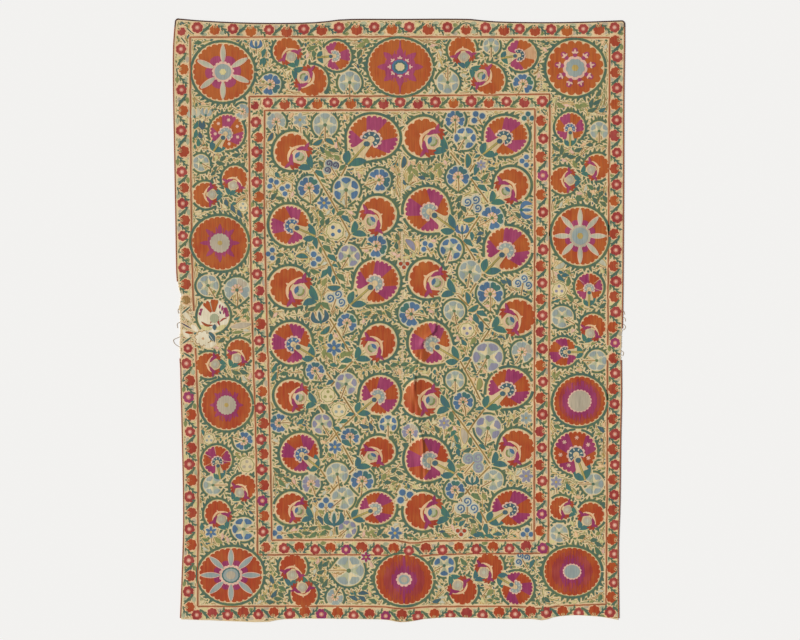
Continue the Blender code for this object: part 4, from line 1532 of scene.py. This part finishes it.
feet = [row[4:] for row in FIELD_FLOWERS]
feet = [feet[start:start + COLUMN_FLOWERS] for start in range(0, len(feet), COLUMN_FLOWERS)]
for near, far in (feet[:2], feet[2:]):
    for start, end in zip(near, far[1:]):
        stem(start, end, STEM_SWAY)
    for start, meet in zip(far, far[1:]):
        stem(start, ((near[0][0] + far[0][0]) / 2, (start[1] + meet[1]) / 2), -STEM_SWAY)
settle()
print(len(stem_routes), "lengths of stem")

# %% [markdown]
# ## Vines round the flowers
# Every flower lies in a loop of vine. The loop is round behind the flower and comes to a point at the foot,
# so its outline is a circle with two straight lines drawn to it from the foot. Long thin leaves grow along
# it, and their tips turn outwards like thorns. Where two loops meet, the second gives way.

# %% Loops of vine
LOOP_STEP, LOOP_HALF, LOOP_EDGE, LOOP_VARIES = 8.0, 4.6, 1.6, (0.8, 1.15)
THORN_LENGTH, THORN_HALF, THORN_GAP, THORN_VARIES = 22.0, 5.2, 21.0, (0.8, 1.2)
THORN_TURN, THORN_BEND = (26, 44), (0, 40)
LOOP_PLACES, LOOP_START = 90, 0.02
# A great rosette, which is larger than this in millimetres, keeps the whole of its loop.
GREAT_SIZE = 90.0
# The thorns of a loop's two halves may cross at its far side, so one half's lie a little higher.
THORN_LEVELS = {1: 0.0, -1: 0.25}


def loop_route(radius, foot, side):
    """Half a loop, from its foot round to its far side: a circle, pointed where the foot is outside it."""
    angle = np.linspace(LOOP_START, math.pi, LOOP_PLACES)
    out = np.full(len(angle), radius)
    if foot > radius:
        touch = math.acos(radius / foot)
        out = np.where(angle < touch, radius / np.cos(touch - angle), radius)
    return np.column_stack([out * np.cos(angle), side * out * np.sin(angle)])


def lay_vine(spot, radius, foot, size):
    rng = np.random.default_rng(int(abs(spot.middle[0]) * 7 + abs(spot.middle[1])))
    for side in (1, -1):
        half = spot.route(loop_route(radius, foot, side))
        line = evenly(half, LOOP_STEP)[0]
        for part in [line] if spot.size > GREAT_SIZE else free_runs(line):
            ribbon(part, LOOP_HALF * size + LOOP_EDGE, "olive", 0.5)
            ribbon(part, LOOP_HALF * size * rng.uniform(*LOOP_VARIES, len(part)), "vine", 1.5)
        for place, heading in zip(*evenly(half, THORN_GAP * size)):
            length = THORN_LENGTH * size * rng.uniform(*THORN_VARIES)
            hook(place, heading - side * rng.uniform(*THORN_TURN), length, THORN_HALF * size, "vine",
                 THORN_LEVELS[side], bend=-side * rng.uniform(*THORN_BEND), edge="olive")
    settle()


for row in vines:
    lay_vine(*row)
print(len(vines), "loops of vine")

# %% Leaves on the stems
STEM_LEAVES, STEM_LEAF_SHARE, STEM_LEAF_GAP = (44.0, 34.0, 26.0), 0.27, 40.0
STEM_LEAF_OFF, STEM_LEAF_TURN, STEM_LEAF_BEND = 6.0, (30, 60), 20
STEM_LEAF_SEED = 8
rng = np.random.default_rng(STEM_LEAF_SEED)
for length in STEM_LEAVES:
    for route in stem_routes:
        for place, heading in zip(*evenly(route, STEM_LEAF_GAP)):
            for side in (1, -1):
                root = place + polar(STEM_LEAF_OFF, heading + 90 * side)
                hook(root, heading + rng.uniform(*STEM_LEAF_TURN) * side, length, length * STEM_LEAF_SHARE,
                     rng.choice(["teal", "teal", "thorn"]), 1, bend=-STEM_LEAF_BEND * side, edge="straw")
                settle()
print("leaves of", STEM_LEAVES, "mm along", len(stem_routes), "stems")

# %% [markdown]
# ## Filling the ground
# What ground is left is filled with sprigs that grow into the free space. A sprig starts anywhere free,
# tries headings all round, and takes the one that lets it grow longest. Its stem then carries hooked leaves
# wherever there is room. Single hooks and small cells of pale silk fill what the sprigs leave.

# %% Sprigs
# Columns: left, top, right, bottom. Boxes in photograph pixels.
FIELD_SIDES = (265.5, 112, 533, 539)
BORDER_OUTER = (192, 39, 607, 604)
BORDER_INNER = (248.5, 95.5, 549.5, 554.5)
BARE_SEAM = (401.0, 112, 402.6, 539)
# Worn places, where the silk is lost.
WORN_PLACES = ((172, 303, 194, 346), (616, 342, 626, 353))
WORN_SILKS = ["brown", "stone", "sage", "line", "moss", "olive", "tan"]
EDGE_MARGIN = 5.0
SEAM_SPAN = (-1185.0, 1180.0)
STITCH_STEP, STITCH_LENGTH, STITCH_HALF, STITCH_SLANT = 9.0, 8.0, 0.9, 20.0
SPRIG_STEP, SPRIG_HEADINGS, SPRIG_CURL, LEAST_SPRIG = 3.0, 40, (-80, 80), 0.5
# A sprig's own sizes, in lengths of its leaves: the space between leaves, the stem's steps, half a leaf.
LEAF_GAP, STEM_GAP, LEAF_HALF = 0.55, 0.7, 0.26
SPRIG_LEAF_TURN, SPRIG_LEAF_BEND, SPRIG_STEM_HALF, LEAF_VARIES = 48, 22, 1.4, (0.8, 1.2)
STEM_SILKS = ["moss", "brown", "gold"]
SPRIG_SILKS = ["thorn", "thorn", "vine", "vine", "teal", "indigo", "moss"]
# Columns: start, end, in photograph pixels. Lengths of brown stitching along the lower edge.
EDGE_LINES = (((392, 619.2), (403, 622.4)), ((403, 622.4), (409, 620.6)), ((514, 618.2), (531, 618.4)),
              ((536, 619.6), (542, 621.2)), ((608, 618.6), (618.5, 617)))
EDGE_LINE_HALF, EDGE_LINE_STEP = 2.0, 12.0

across, up = np.indices(covered.shape) * CELL
ground_x, ground_y = across - COVER_WIDTH / 2, up - COVER_HEIGHT / 2
ground_px, ground_py = ground_x / PIXEL + MIDDLE_X, MIDDLE_Y - ground_y / PIXEL


def inside(left, upper, right, lower):
    """The cells inside a box in photograph pixels."""
    return (ground_px > left) & (ground_px < right) & (ground_py > upper) & (ground_py < lower)


on_cloth = (ground_x > left_side(ground_y) + EDGE_MARGIN) & (ground_x < right_side(ground_y) - EDGE_MARGIN)
on_cloth &= (ground_y > bottom(ground_x) + EDGE_MARGIN) & (ground_y < top(ground_x) - EDGE_MARGIN)
field_ground = inside(*FIELD_SIDES)
border_ground = inside(*BORDER_OUTER) & ~inside(*BORDER_INNER)
band_ground = on_cloth & ~border_ground & ~field_ground
open_ground = field_ground | border_ground
covered |= ~on_cloth


def free_places(ground, rng, count):
    """Free places on a ground, in random order."""
    places = np.argwhere(ground & ~covered)
    places = rng.permutation(places)[:count]
    return places * CELL - (COVER_WIDTH / 2, COVER_HEIGHT / 2)


# %% Growing a sprig
def sprig(start, length, leaf, rng):
    """Grow one sprig from a start. Its leaves are of this length. Says whether there was room."""
    steps = np.arange(1, int(length / SPRIG_STEP))
    best = []
    for heading in rng.uniform(0, 360) + np.arange(0, 360, SPRIG_HEADINGS):
        angle = np.radians(heading + rng.uniform(*SPRIG_CURL) * steps / steps[-1])
        route = start + SPRIG_STEP * np.cumsum(np.column_stack([np.cos(angle), np.sin(angle)]), axis=0)
        blocked = covered[cells(*route.T)]
        run = int(blocked.argmax()) if blocked.any() else len(steps)
        if run > len(best):
            best = route[:run]
    if len(best) * SPRIG_STEP < length * LEAST_SPRIG:
        return False
    places, headings = evenly(best, leaf * LEAF_GAP)
    ribbon(evenly(best, leaf * STEM_GAP)[0], SPRIG_STEM_HALF, rng.choice(STEM_SILKS), 0)
    silk = rng.choice(SPRIG_SILKS)
    for number, (place, heading) in enumerate(zip(places, headings)):
        side = 1 if number % 2 else -1
        hook(place, heading + SPRIG_LEAF_TURN * side, leaf * rng.uniform(*LEAF_VARIES), leaf * LEAF_HALF,
             silk, 1, bend=-SPRIG_LEAF_BEND * side, edge="olive")
    hook(places[-1], headings[-1], leaf, leaf * LEAF_HALF, silk, 1, edge="olive")
    settle(margin=False)
    return True


def fill_with_sprigs(ground, length, leaf, tries, seed):
    rng = np.random.default_rng(seed)
    made = 0
    for start in free_places(ground, rng, tries):
        if not covered[cells(*start)]:
            made += sprig(start, length, leaf, rng)
    print("sprigs of", length, "mm:", made)


# %% Hooks
HOOK_HEADINGS, HOOK_VARIES, HOOK_BEND = 60, (0.85, 1.15), (-50, 50)
# Columns: length, half width, silks, edges, tries, seed. What is left of the silk in a worn place.
WORN_HOOKS = ((11.0, 2.0, WORN_SILKS, [""], 110, 40), (5.0, 1.4, WORN_SILKS, [""], 160, 41))


def fill_with_hooks(ground, length, half, silks, edges, tries, seed):
    """Single hooks in a silk and an edge drawn from these, each where it has room."""
    rng = np.random.default_rng(seed)
    made = 0
    for start in free_places(ground, rng, tries):
        if covered[cells(*start)]:
            continue
        for heading in rng.uniform(0, 360) + np.arange(0, 360, HOOK_HEADINGS):
            if hook(start, heading, length * rng.uniform(*HOOK_VARIES), half, rng.choice(silks), 0,
                    bend=rng.uniform(*HOOK_BEND), edge=rng.choice(edges)):
                settle(margin=False)
                made += 1
                break
    print("hooks of", length, "mm:", made)


for side in seams.values():
    for y in np.arange(*SEAM_SPAN, STITCH_STEP):
        place = np.array([side(y), y])
        if not covered[cells(*place)]:
            reach = np.array(polar(STITCH_LENGTH / 2, STITCH_SLANT))
            ribbon([place - reach, place + reach], STITCH_HALF, "stone", 0)
settle(margin=False)
for ends in EDGE_LINES:
    ribbon(photo_route(ends, EDGE_LINE_STEP), EDGE_LINE_HALF, "brown", 0)
settle()
for box in WORN_PLACES:
    for row in WORN_HOOKS:
        fill_with_hooks(inside(*box) & on_cloth, *row)
    covered |= inside(*box)
covered |= inside(*BARE_SEAM)

# %% Filling
DARK_SILKS = ["thorn", "thorn", "vine", "vine", "teal", "moss", "indigo"]
PALE_SILKS = ["cream", "peach", "pink", "straw", "frost"]
SMALL_SILKS = DARK_SILKS + ["gold", "olive"]
BAND_HOOK_SILKS = ["sage", "moss", "peach", "thorn"]
# In the order of filling, from large to small. Sprigs: ground, length, leaf, tries, seed. Hooks: ground,
# length, half width, silks, edges, tries, seed. An edge of "" is none.
FILLING = (
    (fill_with_sprigs, open_ground, 100.0, 34.0, 1500, 25),
    (fill_with_sprigs, open_ground, 80.0, 24.0, 1500, 21),
    (fill_with_hooks, open_ground, 24.0, 6.4, PALE_SILKS, ["gold", "olive"], 1200, 30),
    (fill_with_sprigs, open_ground, 50.0, 18.0, 4000, 22),
    (fill_with_sprigs, open_ground, 30.0, 13.0, 8000, 23),
    (fill_with_sprigs, band_ground, 24.0, 10.0, 3000, 24),
    (fill_with_hooks, open_ground, 13.0, 3.6, DARK_SILKS, ["olive"], 20000, 31),
    (fill_with_hooks, open_ground, 10.0, 3.0, SMALL_SILKS, [""], 20000, 32),
    (fill_with_hooks, open_ground, 6.5, 2.2, SMALL_SILKS, [""], 20000, 34),
    (fill_with_hooks, band_ground, 9.0, 2.8, BAND_HOOK_SILKS, [""], 9000, 33),
)
for fill, *sizes in FILLING:
    fill(*sizes)

# %% [markdown]
# ## Silks
# The silk is dyed floss, laid upright in every shape and tied down by small slanting stitches. So its
# colour runs in upright streaks, and its sheen is soft and broad. The rust and magenta grow redder from
# the upper end of the cloth to the lower. Real strands are 0.4 mm wide. The streaks here are drawn 2.5 and
# 8 mm wide, so that they show from afar.

# %% Silk material
STREAK_WIDTHS = (2.5, 8.0)
STREAK_LENGTHS = (60.0, 160.0)
STREAK_RELIEF = 0.5
DYE_LOT = 70.0
HALF_CLOTH = 1.1
# Nearly all of a noise texture's values lie in this span.
NOISE_SPAN = (0.3, 0.7)
WIDE_STREAKS, NARROW_SHADES = (-0.35, 0.35), (0.84, 1.16)


def silk_material(name, first, second, by_height=0.0):
    """Couched silk dyed between two colours, in cloudy lots and in streaks.

    Where by_height is 1, the first colour also prevails at the cloth's upper end, the second at its lower.
    """
    material, tree, shader = new_material(name)
    place = add(tree, "TexCoord").outputs["Object"]
    height = add(tree, "SeparateXYZ", place).outputs["Y"]
    drift = add(tree, "MapRange", height, -HALF_CLOTH, HALF_CLOTH, 0.5 - by_height / 2, 0.5 + by_height / 2)
    lots = add(tree, "TexNoise", Vector=place, Scale=1 / (DYE_LOT * MM), Detail=1.0)
    uneven = 0.55 - 0.25 * by_height
    lot = add(tree, "MapRange", lots, *NOISE_SPAN, -uneven, uneven)
    streaks = []
    for width, length in zip(STREAK_WIDTHS, STREAK_LENGTHS):
        stretched = add(tree, "Mapping", Vector=place, Scale=(1 / (width * MM), 1 / (length * MM), 1))
        streaks.append(add(tree, "TexNoise", Vector=stretched, Scale=1.0, Detail=2.0))
    wide = add(tree, "MapRange", streaks[1], *NOISE_SPAN, *WIDE_STREAKS)
    blend = add(tree, "Math", drift, lot, settings={"operation": "ADD"})
    blend = add(tree, "Math", blend, wide, settings={"operation": "ADD", "use_clamp": True})
    dyed = add(tree, "Mix", blend, linear(second), linear(first), settings=COLOURS)
    shade = add(tree, "MapRange", streaks[0], *NOISE_SPAN, *NARROW_SHADES)
    colour = add(tree, "VectorMath", dyed, shade, settings={"operation": "SCALE"})
    relief = add(tree, "Bump", Strength=0.4, Distance=STREAK_RELIEF * MM, Height=streaks[0])
    feed(tree, shader, Base_Color=colour, Normal=relief, Roughness=0.62, Specular_IOR_Level=0.3,
         Sheen_Weight=0.1)
    return material


# Columns: silk, first colour, second colour, and by_height where its dye changes up the cloth.
SILKS = {
    "rust": ("#AE5A22", "#A23C15", 0.8), "magenta": ("#A04262", "#8A2854", 0.8),
    "red": ("#A84C28", "#98341E", 0.5), "crimson": ("#A3443A", "#932F2A", 0.3),
    "salmon": ("#CE8872", "#C0705A"), "peach": ("#E2BC8E", "#D6AA80"), "pink": ("#E0B8A0", "#CFA690"),
    "tan": ("#CFA67C", "#BC9068"), "cream": ("#DCC99C", "#CEBB8E"), "undyed": ("#E4D8BC", "#D6C8A8"),
    "buff": ("#D4BA8E", "#C6AC80"), "straw": ("#D6C68C", "#C2B67E"), "frost": ("#C6C2A8", "#B6B29A"),
    "stone": ("#B8A88E", "#A89C86"), "ash": ("#BEB89C", "#A8A690"), "vine": ("#5A6A4C", "#466054"),
    "thorn": ("#66784E", "#4A6650"), "teal": ("#44705E", "#406468"), "indigo": ("#486468", "#405660"),
    "olive": ("#A8A05E", "#8C8E58"), "moss": ("#8E8C54", "#76804E"), "sage": ("#B0B08C", "#9C9E7E"),
    "gold": ("#C0A45C", "#A88C4C"), "blue": ("#547290", "#46627C"), "sky": ("#9AA296", "#8A9490"),
    "lilac": ("#8E8A96", "#827E90"), "plum": ("#5A5266", "#4C4658"), "brown": ("#A27C44", "#8E6838"),
    "line": ("#A24C20", "#84401C", 0.2),
}
print(len(SILKS), "silks")

# %% [markdown]
# ## Joining the silks
# All the pads of one silk become one mesh. Its corners and faces come from the pads' own arrays, put one
# after another.


# %% Join
def joined_mesh(name, parts):
    corners = np.vstack([part[0] for part in parts]) * MM
    faces, start = [], 0
    for part_corners, part_faces in parts:
        faces.extend([[start + corner for corner in face] for face in part_faces])
        start += len(part_corners)
    mesh = bpy.data.meshes.new(name)
    mesh.from_pydata(corners.tolist(), [], faces)
    bm = bmesh.new()
    bm.from_mesh(mesh)
    bmesh.ops.recalc_face_normals(bm, faces=bm.faces)
    bm.to_mesh(mesh)
    bm.free()
    return mesh


triangles = {}
for silk, parts in stitched.items():
    material = silk_material("couched silk, " + silk, *SILKS[silk])
    piece = new_piece("silk_" + silk, joined_mesh("silk_" + silk, parts), material)
    piece.data.calc_loop_triangles()
    triangles[silk] = len(piece.data.loop_triangles)
print(triangles, "in all", sum(triangles.values()))

# %% [markdown]
# ## The edging
# The edging is a narrow braid sewn round the cloth's edge, red-brown down the sides and much darker, nearly
# black, along the top. It is swept along the edge as a crowned strip, whose width swells and shrinks a
# little with the braid's plaits.

# %% Braid material
# At this scale a wave texture's slanting bands are 10 mm apart along the edge.
BAND_SCALE = 62.8
WEAR_PER_METRE = 60.0
BRAID_RELIEF = 1.0


def braid_material(name, light, dark):
    """Plaited cotton braid: slanting bands of light and dark thread, worn in places."""
    material, tree, shader = new_material(name)
    place = add(tree, "TexCoord").outputs["Object"]
    bands = add(tree, "TexWave", Vector=place, Scale=BAND_SCALE, Distortion=2.5, Detail=2.0,
                settings={"bands_direction": "DIAGONAL"}).outputs["Fac"]
    worn = add(tree, "TexNoise", Vector=place, Scale=WEAR_PER_METRE, Detail=3.0)
    both = add(tree, "Math", bands, worn, settings={"operation": "MULTIPLY"})
    colour = add(tree, "Mix", both, linear(dark), linear(light), settings=COLOURS)
    relief = add(tree, "Bump", Strength=0.8, Distance=BRAID_RELIEF * MM, Height=bands)
    feed(tree, shader, Base_Color=colour, Normal=relief, Roughness=0.85)
    return material


# %% Braid
BRAID_STEP, BRAID_ROWS, BRAID_CROWN, CORNER_TURNS = 3.0, 4, 0.45, 6
PLAIT, PLAIT_SWELL = 7.0, 0.10
INNER_OVERLAP = 0.6


def swept(route, rows, fine, half, crown, under):
    """A strip swept along a route: its corners and faces.

    half is half its width at each station. crown takes the stations and the places across, from -1 to 1,
    and gives the height of its top. under is the height of its underside.
    """
    corners, faces = strip_pad(len(route) - 1, rows, fine)
    u, v, w = corners.T
    station = np.round(u * (len(route) - 1)).astype(int)
    across = 2 * v - 1
    x, y = (route[station] + leftwards(route)[station] * (across * half[station])[:, None]).T
    return np.column_stack([x, y, np.where(w > 0.5, crown(station, across), under)]), faces


def braid(name, node, route, material):
    """A crowned strip along a route in millimetres, standing on the surface."""
    plait = 1 + PLAIT_SWELL * np.sin(2 * math.pi * distances(route) / PLAIT)

    def crown(station, across):
        return EDGING_THICKNESS * plait[station] * (1 - BRAID_CROWN * across ** 2)

    strip = swept(route, BRAID_ROWS, False, (EDGING_WIDTH + INNER_OVERLAP) / 2 * plait, crown, 0.0)
    piece = new_piece(name, joined_mesh(name, [strip]), material)
    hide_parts(node)
    print(name, len(piece.data.polygons), "faces")


def corner_arc(side, reach):
    """Points round an upper corner, from its side to its top, on the solid model's own arc."""
    edge = left_side if side < 0 else right_side
    y = top(edge(UPPER_CORNER_Y)) - CORNER_RADIUS
    x = edge(y) - side * CORNER_RADIUS
    turns = np.linspace(0, math.pi / 2, CORNER_TURNS)
    return np.column_stack([x + side * (CORNER_RADIUS + reach) * np.cos(turns),
                            y + (CORNER_RADIUS + reach) * np.sin(turns)])


def top_route(reach, end_y):
    """The top edging's route, from below one upper corner to below the other."""
    left_arc, right_arc = corner_arc(-1, reach), corner_arc(1, reach)
    x = spread(left_arc[-1][0], right_arc[-1][0], BRAID_STEP)[1:-1]
    return np.vstack([[(left_side(end_y) - reach, end_y)], left_arc, np.column_stack([x, top(x) + reach]),
                      right_arc[::-1], [(right_side(end_y) + reach, end_y)]])


# %% The five lengths of edging
SIDE_EDGINGS = (
    ("left_upper", left_side, -1, LEFT_EDGING_UPPER), ("left_lower", left_side, -1, LEFT_EDGING_LOWER),
    ("right_upper", right_side, 1, RIGHT_EDGING_UPPER), ("right_lower", right_side, 1, RIGHT_EDGING_LOWER),
)
# The top braid is coloured much darker, nearly black, than the side braids.
maroon = braid_material("maroon cotton braid", "#6B3A30", "#2E1413")
red_brown = braid_material("red-brown cotton braid", "#BC7A4A", "#86442A")
middle_reach = PIECE_GAP + (EDGING_WIDTH - INNER_OVERLAP) / 2
braid("braid_top", "edging_top", top_route(middle_reach, LEFT_EDGING_UPPER[1] + PIECE_GAP), maroon)
for place, edge, outward, ends in SIDE_EDGINGS:
    y = spread(*ends, BRAID_STEP)
    route = np.column_stack([edge(y) + outward * middle_reach, y])
    braid("braid_" + place, "edging_" + place, route, red_brown)

# %% [markdown]
# Where the edging is lost, a few threads have come loose. They start under the cloth's edge and lie on the
# floor beside it.

# %% Loose threads
THREAD_HALF, THREAD_BOTTOM, THREAD_TOP, THREAD_CROWN, THREAD_STEP = 0.8, 0.3, 1.7, 0.4, 3.0
# Each row is one thread: its points in photograph pixels.
LOOSE_THREADS = (
    ((181, 336.5), (177, 338), (173.5, 340), (175, 344), (180.5, 347.5)),
    ((619.5, 324.6), (623.6, 324.4), (625.4, 327), (623.4, 329.8), (620, 329.4)),
    ((619.5, 309.5), (623.4, 311), (624.6, 314.5)), ((620, 317), (624.6, 318), (625.4, 321.4)),
    ((180.5, 307), (178, 310), (178.6, 313.6)), ((180, 322), (177.2, 324), (177.6, 328)),
    ((620, 350), (623.4, 352.4), (622.6, 356)),
)


def loose_thread(points):
    """A thread as a narrow strip: its corners and faces."""
    def crown(station, across):
        return THREAD_TOP - (THREAD_TOP - THREAD_BOTTOM) * THREAD_CROWN * across ** 2

    route = photo_route(points, THREAD_STEP)
    return swept(route, 2, True, np.full(len(route), THREAD_HALF), crown, THREAD_BOTTOM)


thread_material = cotton("loose cotton thread", "#B89C72", "#9A7C54", "#86684A")
threads = joined_mesh("loose_threads", [loose_thread(row) for row in LOOSE_THREADS])
new_piece("loose_threads", threads, thread_material)
print(len(LOOSE_THREADS), "loose threads")
